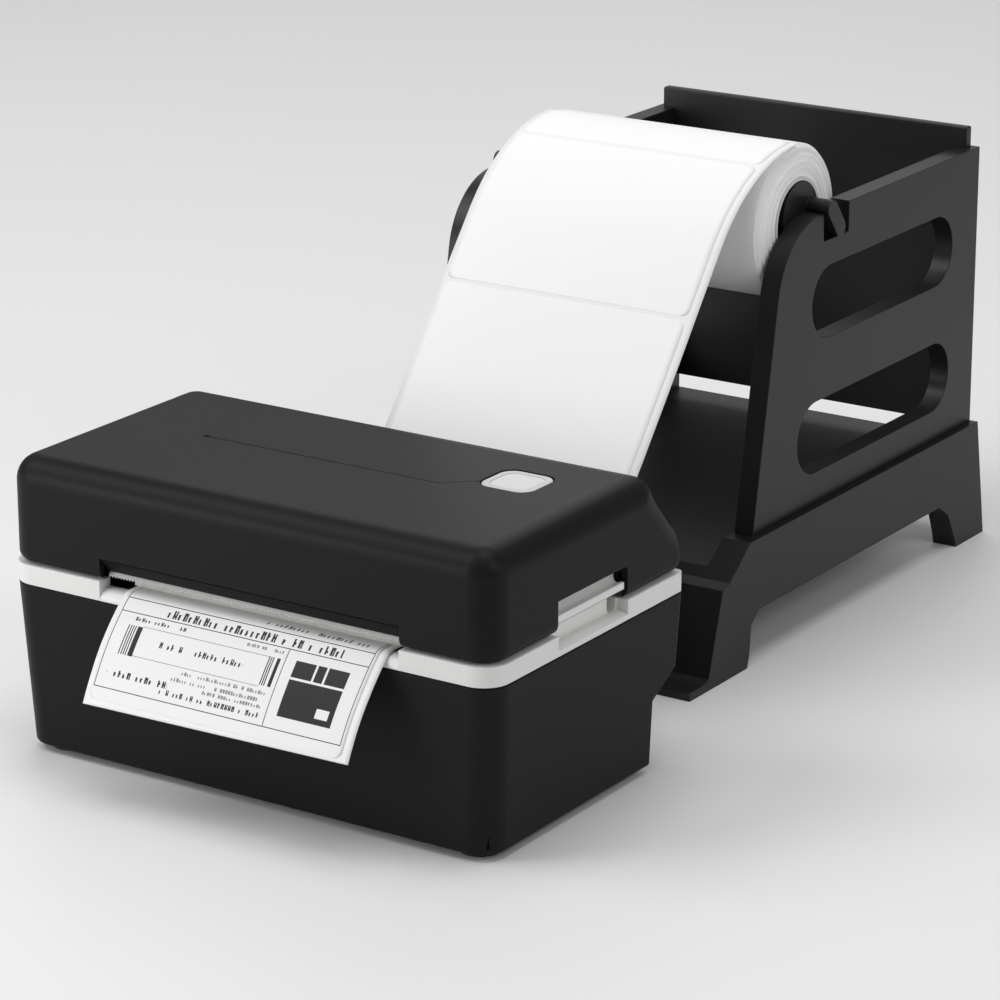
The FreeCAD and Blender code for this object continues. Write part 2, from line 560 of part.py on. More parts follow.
def drive():
    module = float(s.gear_module)
    counts = [int(float(t)) for t in (s.platen_teeth, s.idler_teeth, s.pinion_teeth)]
    radii = [count * module / 2 for count in counts]
    down_back = math.radians(-float(s.idler_fall))
    further = math.radians(-float(s.pinion_fall))
    platen = (float(platen_y), float(platen_z))
    idler = (platen[0] + (radii[0] + radii[1]) * math.cos(down_back),
             platen[1] + (radii[0] + radii[1]) * math.sin(down_back))
    pinion = (idler[0] + (radii[1] + radii[2]) * math.cos(further),
              idler[1] + (radii[1] + radii[2]) * math.sin(further))
    platen_turn = down_back
    idler_turn = down_back + math.pi + math.pi / counts[1]
    along = (idler_turn - further) * radii[1]
    pinion_turn = further + math.pi - (along + math.pi * module / 2) / radii[2]
    x_low = float(s.feed_centre + plate_out + s.gear_gap)
    x_high = x_low + float(s.gear_wide)
    gear("platen_gear", platen, counts[0], platen_turn, float(s.shaft_radius), x_low, x_high)
    gear("idler_gear", idler, counts[1], idler_turn, float(s.pin_radius + s.running_gap), x_low, x_high)
    gear("motor_pinion", pinion, counts[2], pinion_turn, float(s.motor_shaft_radius), x_low,
         x_high)
    return idler, pinion, x_high


def drive_frame():
    idler, pinion, x_high = drive()
    right_in = s.feed_centre + plate_in
    right_out = s.feed_centre + plate_out
    left_in = s.feed_centre - plate_in
    left_out = s.feed_centre - plate_out
    for side, low, high in (("left", left_out, left_in), ("right", right_in, right_out)):
        plate = block("plate_" + side, (low, s.rim_front + s.plate_front_gap, well_floor),
                      (high, s.plate_back, deck_low))
        through = s.plate_thick + 2 * PAST
        tools = [rod("bush_seat_" + side, "x", (low - PAST, platen_y, platen_z), s.bush_radius, through)]
        if side == "right":
            tools.append(rod("idler_seat", "x", (low - PAST, idler[0], idler[1]), s.pin_radius, through))
            tools.append(rod("motor_window", "x",
                             (low - PAST, pinion[0], pinion[1]), s.motor_window, through))
        node("side_plate_" + side, cut("side_plate_" + side, plate, *tools))
    bushes = []
    for side, start in (("left", left_out), ("right", right_in)):
        sleeve = rod("bush_out_" + side, "x", (start, platen_y, platen_z), s.bush_radius, s.plate_thick)
        bore = rod("bush_in_" + side, "x", (start - PAST, platen_y, platen_z),
                   s.shaft_radius + s.running_gap, through)
        bushes.append(cut("bush_" + side, sleeve, bore))
    node("platen_bushes", group("platen_bushes", *bushes))
    node("idler_pin", rod("idler_pin", "x", (right_in, idler[0], idler[1]), s.pin_radius, x_high - right_in))
    can = rod("motor_can", "x", (right_in - s.motor_long, pinion[0], pinion[1]), s.motor_radius,
              s.motor_long)
    flange = block("motor_flange",
                   (right_in - s.flange_thick, pinion[0] - s.flange_half, pinion[1] - s.flange_high),
                   (right_in, pinion[0] + s.flange_half, pinion[1] + s.flange_high))
    bore = rod("motor_bore", "x", (right_in - s.motor_shaft_in - s.shaft_past, pinion[0], pinion[1]),
               s.motor_shaft_radius + s.running_gap, BEYOND)
    node("feed_motor", cut("feed_motor", fuse("motor_whole", can, flange), bore))
    node("motor_shaft", rod("motor_shaft", "x", (right_in - s.motor_shaft_in, pinion[0], pinion[1]),
                            s.motor_shaft_radius, x_high - right_in + s.motor_shaft_in))
    roller_half = s.liner_width / 2 + s.roller_past
    rubber = rod("platen_out", "x", (s.feed_centre - roller_half, platen_y, platen_z), s.platen_radius,
                 roller_half * 2)
    core = rod("platen_core", "x", (s.feed_centre - roller_half - PAST, platen_y, platen_z), s.shaft_radius,
               roller_half * 2 + 2 * PAST)
    node("platen_roller", cut("platen_roller", rubber, core))
    node("platen_shaft", rod("platen_shaft", "x", (left_out - s.shaft_past, platen_y, platen_z),
                             s.shaft_radius, x_high - left_out + s.shaft_past))


# Electronics

# Parts on the board: lowest and highest corner from above, and height over the board.
CHIPS = [((-70, 70), (-52, 82), 1.4), ((-40, 72), (-26, 80), 1.2), ((-8, 68), (10, 76), 8.5),
         ((-70, 86), (-60, 91), 6)]


def electronics():
    wall_in = step_face - s.lid_wall
    low = well_floor + s.board_rise
    top = low + s.board_thick
    board = block("board_plain", (s.board_left, s.board_front, low),
                  (s.board_right, wall_in - s.board_back_gap, top))
    spots = [(x, y) for x in (s.board_left + s.post_inset, s.board_right - s.post_inset)
             for y in (s.post_front, s.post_back)]
    holes = [rod("board_hole_%d" % i, "z", (x, y, low - PAST), s.board_hole, s.board_thick + 2 * PAST)
             for i, (x, y) in enumerate(spots)]
    node("control_board", cut("control_board", board, *holes))
    posts = [rod("post_%d" % i, "z", (x, y, well_floor), s.post_radius, s.board_rise)
             for i, (x, y) in enumerate(spots)]
    node("board_posts", group("board_posts", *posts))
    chips = [block("chip_%d" % i, (first[0], first[1], top), (last[0], last[1], top + high))
             for i, (first, last, high) in enumerate(CHIPS)]
    node("board_parts", group("board_parts", *chips))
    jack = block("jack_box", (s.jack_x - s.jack_half, wall_in - s.jack_long, top),
                 (s.jack_x + s.jack_half, wall_in, s.socket_z + s.jack_above))
    jack_bore = rod("jack_bore", "y", (s.jack_x, wall_in - s.jack_deep, s.socket_z), s.jack_bore, BEYOND)
    pin = rod("jack_pin", "y", (s.jack_x, wall_in - s.jack_deep - NEAR, s.socket_z), s.jack_pin,
              s.jack_pin_long)
    node("power_jack", fuse("power_jack", cut("jack_open", jack, jack_bore), pin))
    usb = block("usb_box", (s.usb_x - s.usb_half, wall_in - s.usb_long, top),
                (s.usb_x + s.usb_half, wall_in, s.socket_z + s.usb_high))
    wide = s.usb_half - s.usb_wall
    high = s.usb_high - s.usb_roof
    usb_bore = block("usb_bore", (s.usb_x - wide, wall_in - s.usb_deep, s.socket_z - high),
                     (s.usb_x + wide, wall_in + PAST, s.socket_z + high))
    tongue = block("usb_tongue",
                   (s.usb_x - s.tongue_half, wall_in - s.usb_deep - NEAR, s.socket_z - s.tongue_high),
                   (s.usb_x + s.tongue_half, wall_in - s.step_lip, s.socket_z + s.tongue_high))
    node("usb_port", fuse("usb_port", cut("usb_open", usb, usb_bore), tongue))
    rocker()


def rocker():
    wall_in = step_face - s.lid_wall
    wide = s.switch_half
    high = s.switch_high
    body = block("switch_box", (s.switch_x - wide, wall_in - s.switch_long, s.socket_z - high),
                 (s.switch_x + wide, step_face, s.socket_z + high))
    bezel = block("switch_bezel",
                  (s.switch_x - wide - s.bezel_wide, step_face, s.socket_z - high - s.bezel_wide),
                  (s.switch_x + wide + s.bezel_wide, step_face + s.bezel_thick,
                   s.socket_z + high + s.bezel_wide))
    bay = block("switch_bay",
                (s.switch_x - wide + s.bay_wall, step_face - s.bay_deep, s.socket_z - high + s.bay_roof),
                (s.switch_x + wide - s.bay_wall, step_face + BEYOND, s.socket_z + high - s.bay_roof))
    seat_half = s.axle_half + s.switch_play
    centre_y = step_face - s.axle_sunk
    seats = rod("switch_seat", "z", (s.switch_x, centre_y, s.socket_z - seat_half),
                s.axle_radius + s.running_gap, seat_half * 2)
    node("switch_housing", cut("switch_housing", fuse("switch_whole", body, bezel), bay, seats))
    tilt = Rotation(Vector(0, 0, 1), -float(s.rocker_tilt))
    paddle = doc.addObject("Part::Box", "rocker_paddle")
    for prop, amount in (("Length", s.rocker_half * 2), ("Width", s.rocker_thick), ("Height", s.rocker_high * 2)):
        bind(paddle, prop, amount)
    paddle.Placement = Placement(Vector(), tilt)
    corner = tilt.multVec(Vector(-float(s.rocker_half), -float(s.rocker_front), 0))
    place(paddle, (s.switch_x + corner.x, centre_y + corner.y, s.socket_z - s.rocker_high))
    axle = rod("rocker_axle", "z", (s.switch_x, centre_y, s.socket_z - s.axle_half), s.axle_radius,
               s.axle_half * 2)
    node("rocker_switch", fuse("rocker_switch", paddle, axle))


# Media guides

RACK_TIP = 0.8    # a rack tooth's height over the pitch line, in modules
RACK_ROOT = 1.1
RACK_PITCHES = 16 # teeth along one rack


def rack_points(module, length, at, back):
    # Straight-sided teeth on the pitch line, facing the pinion; back is the plain far side.
    pitch = math.pi * module
    lean = math.tan(math.radians(PRESSURE))
    side = 1 if back < 0 else -1
    points = []
    count = int(length / pitch)
    for i in range(-count // 2, count // 2 + 1):
        middle = at + (i + 0.5) * pitch
        for reach, way in ((-RACK_ROOT, -1), (RACK_TIP, -1), (RACK_TIP, 1), (-RACK_ROOT, 1)):
            half_tooth = pitch / 4 - float(s.rack_play) - reach * module * lean
            points.append((middle + way * half_tooth, side * reach * module))
    return [(points[0][0], back)] + points + [(points[-1][0], back)]


def guides():
    module = float(s.rack_module)
    teeth = int(float(s.rack_teeth))
    pitch_radius = float(pinion_pitch)
    centre_y = float(s.guide_axis)
    centre_x = float(s.feed_centre)
    top = float(deck_low) - float(s.slide_gap)
    thick = float(s.rack_thick)
    low = top - thick
    wheel = [Vector(centre_x + a, centre_y + b, low)
             for a, b in gear_points(teeth, module, math.pi / 2, float(s.gear_play))]
    rim = Part.Face(Part.makePolygon(wheel + wheel[:1])).extrude(Vector(0, 0, thick))
    bore = Part.makeCylinder(float(s.pin_radius + s.running_gap), thick + 2 * PAST,
                             Vector(centre_x, centre_y, low - PAST))
    node("guide_pinion", solid("guide_pinion", rim.cut(bore)))
    node("pinion_stud", rod("pinion_stud", "z", (s.feed_centre, centre_y, low - s.stud_past), s.pin_radius,
                            deck_low - low + s.stud_past))
    for name, way, line in (("left", -1, pitch_radius), ("right", 1, -pitch_radius)):
        back = math.copysign(float(s.rack_back), line)
        edge = centre_x + way * float(s.liner_width / 2 + s.slide_gap)
        outline_points = rack_points(module, RACK_PITCHES * math.pi * module, centre_x, back)
        rack = [Vector(x, centre_y + line + y, low) for x, y in outline_points]
        bar = Part.Face(Part.makePolygon(rack + rack[:1])).extrude(Vector(0, 0, thick))
        inner = centre_x + way * RACK_PITCHES / 2 * math.pi * module
        outer = edge + way * float(s.guide_thick)
        arm_y = sorted((centre_y + math.copysign(float(leg_near), line), centre_y + line + back))
        x_low, x_high = sorted((inner - way * float(s.guide_head_gap), outer))
        arm = Part.makeBox(x_high - x_low, arm_y[1] - arm_y[0], thick, Vector(x_low, arm_y[0], low))
        x_low, x_high = sorted((edge, outer))
        leg = Part.makeBox(x_high - x_low, arm_y[1] - arm_y[0], float(deck_top) + PAST - low,
                           Vector(x_low, arm_y[0], low))
        wall = Part.makeBox(x_high - x_low, float(s.guide_back - s.guide_front),
                            float(s.seam_high - deck_top - s.guide_head_gap),
                            Vector(x_low, float(s.guide_front), float(deck_top + s.guide_lift)))
        node("guide_" + name, solid("guide_" + name, bar.fuse([arm, leg, wall]).removeSplitter()))


# Lid

def lid_shell():
    profile = [(s.lid_inset, lid_low), (lid_back, lid_low), (lid_back, s.lid_top - s.slope_high),
               (lid_back - s.slope_deep, s.lid_top), (s.lid_inset, s.lid_top)]
    across = half - s.lid_inset
    body, pad = drawn("lid_body", "YZ_Plane", profile, -across, across)
    front = fillet(body, "lid_front", pad, s.corner_front, lambda box: box.ZLength > 30 and box.YMax < 2)
    top = fillet(body, "lid_top_edge", front, s.lid_round,
                 lambda box: box.ZMin > float(s.lid_top) - NEAR and box.YMin < float(crest) - 1)
    brow = fillet(body, "lid_crest", top, s.slope_round,
                  lambda box: box.XLength > 50 and box.YMin > float(crest) - NEAR
                  and box.ZMin > float(s.lid_top) - 1)
    shoulder = float(s.lid_top - s.slope_high)

    def rear_corner(box):
        upright = 3 < box.ZLength and box.ZMax < float(s.lid_top) - 5
        across_back = abs(box.ZMin - shoulder) < 1 and box.XLength > 50
        return box.YMin > float(crest) - 0.5 and (upright or across_back)

    rear = fillet(body, "lid_rear_edge", brow, s.corner_back, rear_corner)
    fillet(body, "lid_heel", rear, s.hinge_inset,
           lambda box: box.ZMax < float(lid_low) + NEAR and box.YMin > float(lid_back) - NEAR
           and box.XLength > 50)
    wall = s.lid_wall
    inner = [(s.lid_inset + wall, lid_low - BEYOND), (lid_back - wall, lid_low - BEYOND),
             (lid_back - wall, s.lid_top - s.slope_high - 1), (lid_back - s.slope_deep - wall, roof),
             (s.lid_inset + wall, roof)]
    hollow, hollow_pad = drawn("lid_hollow", "YZ_Plane", inner, -(across - wall), across - wall)
    fillet(hollow, "hollow_edge", hollow_pad, s.lid_round - wall,
           lambda box: (box.ZMin > float(roof) - 0.1 and box.YMin < 90 and box.ZLength < 0.1)
           or (box.YMax < 5 and box.ZLength > 20))
    window = block("mouth_window", (mouth_left, -BEYOND, lid_low - 1),
                   (mouth_right, s.lid_inset + wall + s.mouth_behind, s.mouth_high))
    button_half = s.button_wide / 2 + s.button_play
    hole = block("button_hole", (s.button_x - button_half, s.button_y - button_half, roof - 5),
                 (s.button_x + button_half, s.button_y + button_half, s.lid_top + 5))
    hole = soften("button_hole_round", hole, s.button_corner, lambda box: box.ZLength > 3)
    tools = [hollow, window, hole, lid_groove()]
    added = []
    for side in (-1, 1):
        x_low, x_high = sorted((side * (across - wall - 1), side * (half + 2)), key=float)
        opening = block("latch_window_%d" % side, (x_low, s.latch_front, lid_low - 1),
                        (x_high, s.latch_back, s.latch_high))
        tools.append(soften("latch_window_round_%d" % side, opening, s.window_round,
                            lambda box: box.XLength > 3 and box.ZMin > float(s.latch_high) - NEAR
                            and box.YMin > float(s.latch_back) - NEAR))
        tools.append(block("ear_slot_%d" % side, (side * s.hinge_span - s.ear_half - s.ear_gap,
                                                  hinge_y - s.hinge_inset - 1, lid_low - 1),
                           (side * s.hinge_span + s.ear_half + s.ear_gap, lid_back + 1,
                            hinge_z + s.hinge_inset + 0.8)))
    body_cut = cut("lid_open", body, *tools)
    bores = []
    for side in (-1, 1):
        for i, start in enumerate((-s.ear_half - s.ear_gap - s.knuckle_wide, s.ear_half + s.ear_gap)):
            left = side * s.hinge_span + start
            added.append(block("knuckle_%d_%d" % (side, i),
                               (left, hinge_y - s.hinge_inset + s.slide_gap, lid_low + 0.4),
                               (left + s.knuckle_wide, lid_back - wall + 0.2,
                                s.lid_top - s.slope_high - s.knuckle_drop)))
        bores.append(rod("knuckle_bore_%d" % side, "x", (side * s.hinge_span - 8, hinge_y, hinge_z),
                         s.hinge_pin_radius, 16))
        for i, low in enumerate((rib_front, rib_back)):
            x_low, x_high = sorted((side * (rim_half - s.rib_inset), side * (latch_x + s.rib_reach)), key=float)
            added.append(block("latch_rib_%d_%d" % (side, i), (x_low, low, s.latch_pivot_z - s.rib_below),
                               (x_high, low + s.rib_thick, roof + 0.2)))
        bores.append(rod("latch_rib_bore_%d" % side, "y", (side * latch_x, rib_front - 1, s.latch_pivot_z),
                         s.latch_pin_radius, rib_back - rib_front + s.rib_thick + 2))
    node("lid_shell", cut("lid_shell", fuse("lid_ribbed", body_cut, *added), *bores))
    reach = s.ear_half + s.ear_gap + s.knuckle_wide
    pins = [rod("hinge_pin_%d" % side, "x", (side * s.hinge_span - reach, hinge_y, hinge_z),
                s.hinge_pin_radius, reach * 2)
            for side in (-1, 1)]
    node("hinge_pins", group("hinge_pins", *pins))
    latch_pins = [rod("latch_pin_%d" % side, "y", (side * latch_x, rib_front, s.latch_pivot_z),
                      s.latch_pin_radius,
                      rib_back - rib_front + s.rib_thick) for side in (-1, 1)]
    node("latch_pins", group("latch_pins", *latch_pins))


def lid_groove():
    # A shallow line in the lid's top: a dot, a long straight run and an S-bend up to the button.
    centre_line = []
    start = (float(s.groove_left), float(s.groove_y))
    end = (float(s.button_x - s.button_wide / 2), float(s.groove_end_y))
    bend_from = end[0] - float(s.groove_bend)
    for i in range(17):
        share = i / 16
        eased = share * share * (3 - 2 * share)
        centre_line.append((bend_from + (end[0] + NEAR - bend_from) * share,
                            start[1] + (end[1] - start[1]) * eased))
    centre_line.insert(0, start)
    upper = [(x, y + float(s.groove_wide) / 2) for x, y in centre_line]
    lower = [(x, y - float(s.groove_wide) / 2) for x, y in centre_line]
    floor = float(s.lid_top - s.groove_deep)
    ring = [Vector(x, y, floor) for x, y in upper + lower[::-1]]
    line = Part.Face(Part.makePolygon(ring + ring[:1])).extrude(Vector(0, 0, BEYOND))
    dot = Part.makeCylinder(float(s.groove_dot), BEYOND, Vector(start[0], start[1], floor))
    return solid("lid_groove", line.fuse(dot))


def latches():
    arm_out = rim_half - s.latch_play
    arm_in = arm_out - s.arm_thick
    grip_in = scoop_face - s.grip_root
    grip_out = half - s.grip_inset
    grip_top = s.latch_high - s.latch_play
    grip_front = s.latch_front + s.grip_front_gap
    grip_back = s.latch_back - s.grip_back_gap
    inside = grip_in + s.grip_thick
    floor = s.grip_low + s.grip_thick
    rim = s.grip_low + s.grip_lip
    under = grip_top - s.grip_ledge_thick
    channel = [(grip_in, s.grip_low), (grip_out, s.grip_low), (grip_out, rim),
               (grip_out - s.grip_lip_wide, rim), (grip_out - s.grip_lip_wide - s.grip_lip_slope, floor),
               (inside, floor), (inside, under - 2 * NEAR), (inside + s.grip_ledge, under),
               (inside + s.grip_ledge, grip_top), (grip_in, grip_top)]
    for side, name in ((-1, "left"), (1, "right")):
        grip, pad = drawn("latch_grip_" + name, "XZ_Plane", [(side * x, z) for x, z in channel], -grip_back,
                          -grip_front)
        fillet(grip, "latch_hollow_" + name, pad, s.grip_round,
               lambda box: box.YLength > 20 and abs(abs(box.XMin) - float(inside)) < NEAR
               and abs(box.ZMin - float(floor)) < NEAR)
        x_low, x_high = sorted((side * arm_in, side * (scoop_face - 0.5)), key=float)
        pivot = block("latch_pivot_" + name, (x_low, s.arm_front - s.boss_half, s.latch_pivot_z - s.boss_half),
                      (x_high, s.arm_back + s.boss_half, s.latch_pivot_z + s.boss_above))
        x_low, x_high = sorted((side * arm_in, side * arm_out), key=float)
        arm = block("latch_arm_" + name, (x_low, s.arm_front, s.arm_low),
                    (x_high, s.arm_back, s.latch_pivot_z))
        bore = rod("latch_bore_" + name, "y", (side * latch_x, rib_front, s.latch_pivot_z),
                   s.latch_pin_radius + s.running_gap, rib_back - rib_front)
        node("latch_" + name, cut("latch_" + name, fuse("latch_solid_" + name, grip, pivot, arm), bore))


def tear_bar():
    slope = math.radians(float(s.blade_angle))
    along = Vector(0, math.cos(slope), math.sin(slope))
    lift = Vector(0, -math.sin(slope), math.cos(slope))
    front = Vector(0, float(s.blade_y), float(s.blade_z))
    left = float(mouth_left + s.insert_play)
    right = float(mouth_right - s.insert_play)
    back_y = float(s.lid_inset + s.lid_wall + s.insert_deep)
    top = float(s.mouth_high - s.insert_drop)
    heel = front + along * ((back_y - front.y) / along.y)
    ring = [(float(s.lid_inset + s.insert_sunk), top), (back_y, top), (back_y, heel.z), (front.y, front.z)]
    node("mouth_insert", solid("mouth_insert", prism_x(ring, left, right)))
    pitch = float(s.blade_pitch)
    tooth = float(s.blade_tooth)
    count = int((right - left - 2 * float(s.blade_margin)) / pitch)
    start = (left + right) / 2 - count * pitch / 2
    tip = front - along * float(s.blade_reach)
    strip = [heel + Vector(start, 0, 0), heel + Vector(start + count * pitch, 0, 0)]
    edge = []
    for i in range(count):
        edge.append(tip + along * tooth + Vector(start + (count - i) * pitch, 0, 0))
        edge.append(tip + Vector(start + (count - i - 0.5) * pitch, 0, 0))
    edge.append(tip + along * tooth + Vector(start, 0, 0))
    ring = strip + edge
    blade = Part.Face(Part.makePolygon(ring + ring[:1])).extrude(lift * -float(s.blade_thick))
    node("tear_blade", solid("tear_blade", blade))


def print_head():
    left = s.feed_centre - s.liner_width / 2 - s.head_past
    right = s.feed_centre + s.liner_width / 2 + s.head_past
    low = paper_over + s.head_gap
    face = low + s.ceramic_thick
    node("head_ceramic", block("head_ceramic", (left, platen_y - s.ceramic_front, low),
                               (right, platen_y + s.ceramic_back, face)))
    top = low + s.head_high
    sink = block("sink_bar", (left - s.sink_past, platen_y - s.sink_front, face),
                 (right + s.sink_past, platen_y + s.sink_back, top))
    grooves = []
    for i in range(4):
        start = platen_y + s.shaft_past + s.fin_pitch * i
        grooves.append(block("sink_groove_%d" % i, (left - s.sink_past - PAST, start, low + s.fin_floor),
                             (right + s.sink_past + PAST, start + s.fin_gap, top + PAST)))
    node("head_heatsink", cut("head_heatsink", sink, *grooves))
    shelf = top + s.bridge_rise
    near, far = platen_y - s.bridge_front, platen_y + s.bridge_back
    out_left, out_right = left - s.bridge_past - PAST, right + s.bridge_past + PAST
    bridge = block("bridge_plate", (out_left, near, shelf), (out_right, far, shelf + s.bridge_thick))
    starts = (out_left, s.feed_centre - s.bridge_thick / 2, out_right - s.bridge_thick)
    ribs = [block("bridge_rib_%d" % i, (x, near, shelf + PAST), (x + s.bridge_thick, far, roof))
            for i, x in enumerate(starts)]
    node("head_bridge", fuse("head_bridge_whole", bridge, *ribs))
    coils = []
    for i, x in enumerate((-float(s.spring_x), float(s.spring_x))):
        radius = float(s.spring_radius)
        height = float(shelf - top) - 2 * float(s.spring_wire)
        helix = Part.makeHelix(height / float(s.spring_turns), height, radius)
        ring = Part.Wire(Part.makeCircle(float(s.spring_wire), Vector(radius, 0, 0), Vector(0, 1, 0)))
        coil = Part.Wire(helix).makePipeShell([ring], True, True)
        coil.translate(Vector(float(s.feed_centre) + x, float(platen_y - s.spring_forward),
                              float(top) + float(s.spring_wire)))
        coils.append(solid("head_spring_%d" % i, coil))
    node("head_springs", group("head_springs", *coils))


def feed_button():
    wide = s.button_wide / 2
    skirt_low = roof - s.skirt_thick
    cap = block("button_cap", (s.button_x - wide, s.button_y - wide, skirt_low + s.button_sunk),
                (s.button_x + wide, s.button_y + wide, s.lid_top - s.button_sunk))
    cap = soften("button_cap_corner", cap, s.button_corner, lambda box: box.ZLength > 2)
    cap = soften("button_cap_edge", cap, s.button_edge,
                 lambda box: box.ZMin > float(s.lid_top - s.button_sunk) - NEAR)
    reach = wide + s.skirt_wide
    skirt = block("button_skirt", (s.button_x - reach, s.button_y - reach, skirt_low),
                  (s.button_x + reach, s.button_y + reach, roof - s.skirt_gap))
    lens = s.lens_wide / 2
    seat = block("lens_seat", (s.button_x - lens, s.button_y - lens, s.lid_top - s.lens_deep),
                 (s.button_x + lens, s.button_y + lens, s.lid_top + PAST))
    seat = soften("lens_seat_round", seat, s.lens_corner, lambda box: box.ZLength > 1)
    node("feed_button", cut("feed_button", fuse("button_whole", cap, skirt), seat))
    glass = block("lens_block", (s.button_x - lens, s.button_y - lens, s.lid_top - s.lens_deep),
                  (s.button_x + lens, s.button_y + lens, s.lid_top - s.lens_sunk))
    glass = soften("lens_corners", glass, s.lens_corner, lambda box: box.ZLength > 1)
    node("button_lens", soften("button_lens", glass, s.lens_edge,
                               lambda box: box.ZMin > float(s.lid_top - s.lens_sunk) - NEAR))
    low = roof - s.switch_drop
    board = block("button_board_flat",
                  (s.button_x - s.switch_board_half, s.button_y - s.switch_board_deep, low - s.switch_board_thick),
                  (s.button_x + s.switch_board_half, s.button_y + s.switch_board_deep, low))
    posts = [rod("button_post_%d" % i, "z", (s.button_x + side * s.switch_post_x, s.button_y, low),
                 s.board_hole, roof - low)
             for i, side in enumerate((-1, 1))]
    node("button_board", fuse("button_board", board, *posts))
    top = skirt_low - s.button_travel - s.contact_gap
    node("button_contact", block("button_contact",
                                 (s.button_x - s.contact_half, s.button_y - s.contact_half, low),
                                 (s.button_x + s.contact_half, s.button_y + s.contact_half, top)))


# Paper

def ribbon(start, heading, moves, thick):
    # Carries a thin strip's two sides along straight runs and arcs in the (y, z) plane.
    # A move is (length, 0) for a run, or (radius, turn) for an arc; turn is in degrees.
    y, z, angle = start[0], start[1], heading
    sides = {1: [], -1: []}
    for amount, turn in moves:
        across = (-math.sin(math.radians(angle)), math.cos(math.radians(angle)))
        begin = {k: (y + across[0] * k * thick / 2, z + across[1] * k * thick / 2) for k in sides}
        if turn:
            bend = 1 if turn > 0 else -1
            centre = (y + across[0] * amount * bend, z + across[1] * amount * bend)

            def swung(degrees, radius):
                direction = math.radians(angle + degrees - 90 * bend)
                return centre[0] + radius * math.cos(direction), centre[1] + radius * math.sin(direction)

            for k in sides:
                radius = amount - k * bend * thick / 2
                sides[k].append((begin[k], swung(turn / 2, radius), swung(turn, radius)))
            y, z = swung(turn, amount)
            angle += turn
        else:
            y += amount * math.cos(math.radians(angle))
            z += amount * math.sin(math.radians(angle))
            end = {k: (y + across[0] * k * thick / 2, z + across[1] * k * thick / 2) for k in sides}
            for k in sides:
                sides[k].append((begin[k], end[k]))
    return sides, (y, z)


def strip(sides, x_low, x_high):
    def point(pair):
        return Vector(x_low, pair[0], pair[1])

    parts = []
    for k in (1, -1):
        for piece in sides[k]:
            spots = [point(pair) for pair in piece]
            parts.append(Part.Arc(*spots).toShape() if len(spots) == 3 else Part.makeLine(*spots))
    parts.append(Part.makeLine(point(sides[1][0][0]), point(sides[-1][0][0])))
    parts.append(Part.makeLine(point(sides[1][-1][-1]), point(sides[-1][-1][-1])))
    face = Part.Face(Part.Wire(Part.__sortEdges__(parts)))
    return face.extrude(Vector(x_high - x_low, 0, 0))


def paper():
    thick = float(s.paper_thick)
    left = float(s.feed_centre - s.liner_width / 2)
    right = float(s.feed_centre + s.liner_width / 2)
    level = float(s.paper_level)
    angle = float(s.web_angle)
    cosine = math.cos(math.radians(angle))
    sine = math.sin(math.radians(angle))
    bulge = float(s.web_bulge)
    top = (float(roll_y), float(roll_z + s.roll_radius + s.roll_gap) + thick / 2)
    reach = top[0] - bulge * sine - float(web_flat_end)
    drop = top[1] - bulge * (1 - cosine) - level
    # the straight run and the last bend land on the inlet: run*cos + bend*sin = reach,
    # run*sin + bend*(1 - cos) = drop
    bend = (reach * sine - drop * cosine) / (sine * sine - cosine * (1 - cosine))
    run = (reach - bend * sine) / cosine
    flat = float(web_flat_end) - float(platen_y)
    sides, _ = ribbon(top, 180, [(bulge, angle), (run, 0), (bend, -angle), (flat, 0)], thick)
    node("label_web", solid("label_web", strip(sides, left, right)))
    lip_at = float(s.lip_round)
    drop_radius = level - (float(s.mouth_floor) - lip_at)
    first = float(s.exit_angle)
    last = float(s.tip_angle)
    over_lip = drop_radius * math.sin(math.radians(first))
    turned = math.sin(math.radians(last)) - math.sin(math.radians(first))
    hang = (float(s.label_reach) + lip_at - over_lip) / turned
    sides, tip = ribbon((float(platen_y), level), 180,
                        [(float(platen_y) - lip_at, 0), (drop_radius, first), (hang, last - first)], thick)
    print("web bend radius %.1f, run %.1f; label tip at y %.2f z %.2f" % (bend, run, tip[0], tip[1]))
    node("printed_label", solid("printed_label", strip(sides, left, right)))


# Roll holder

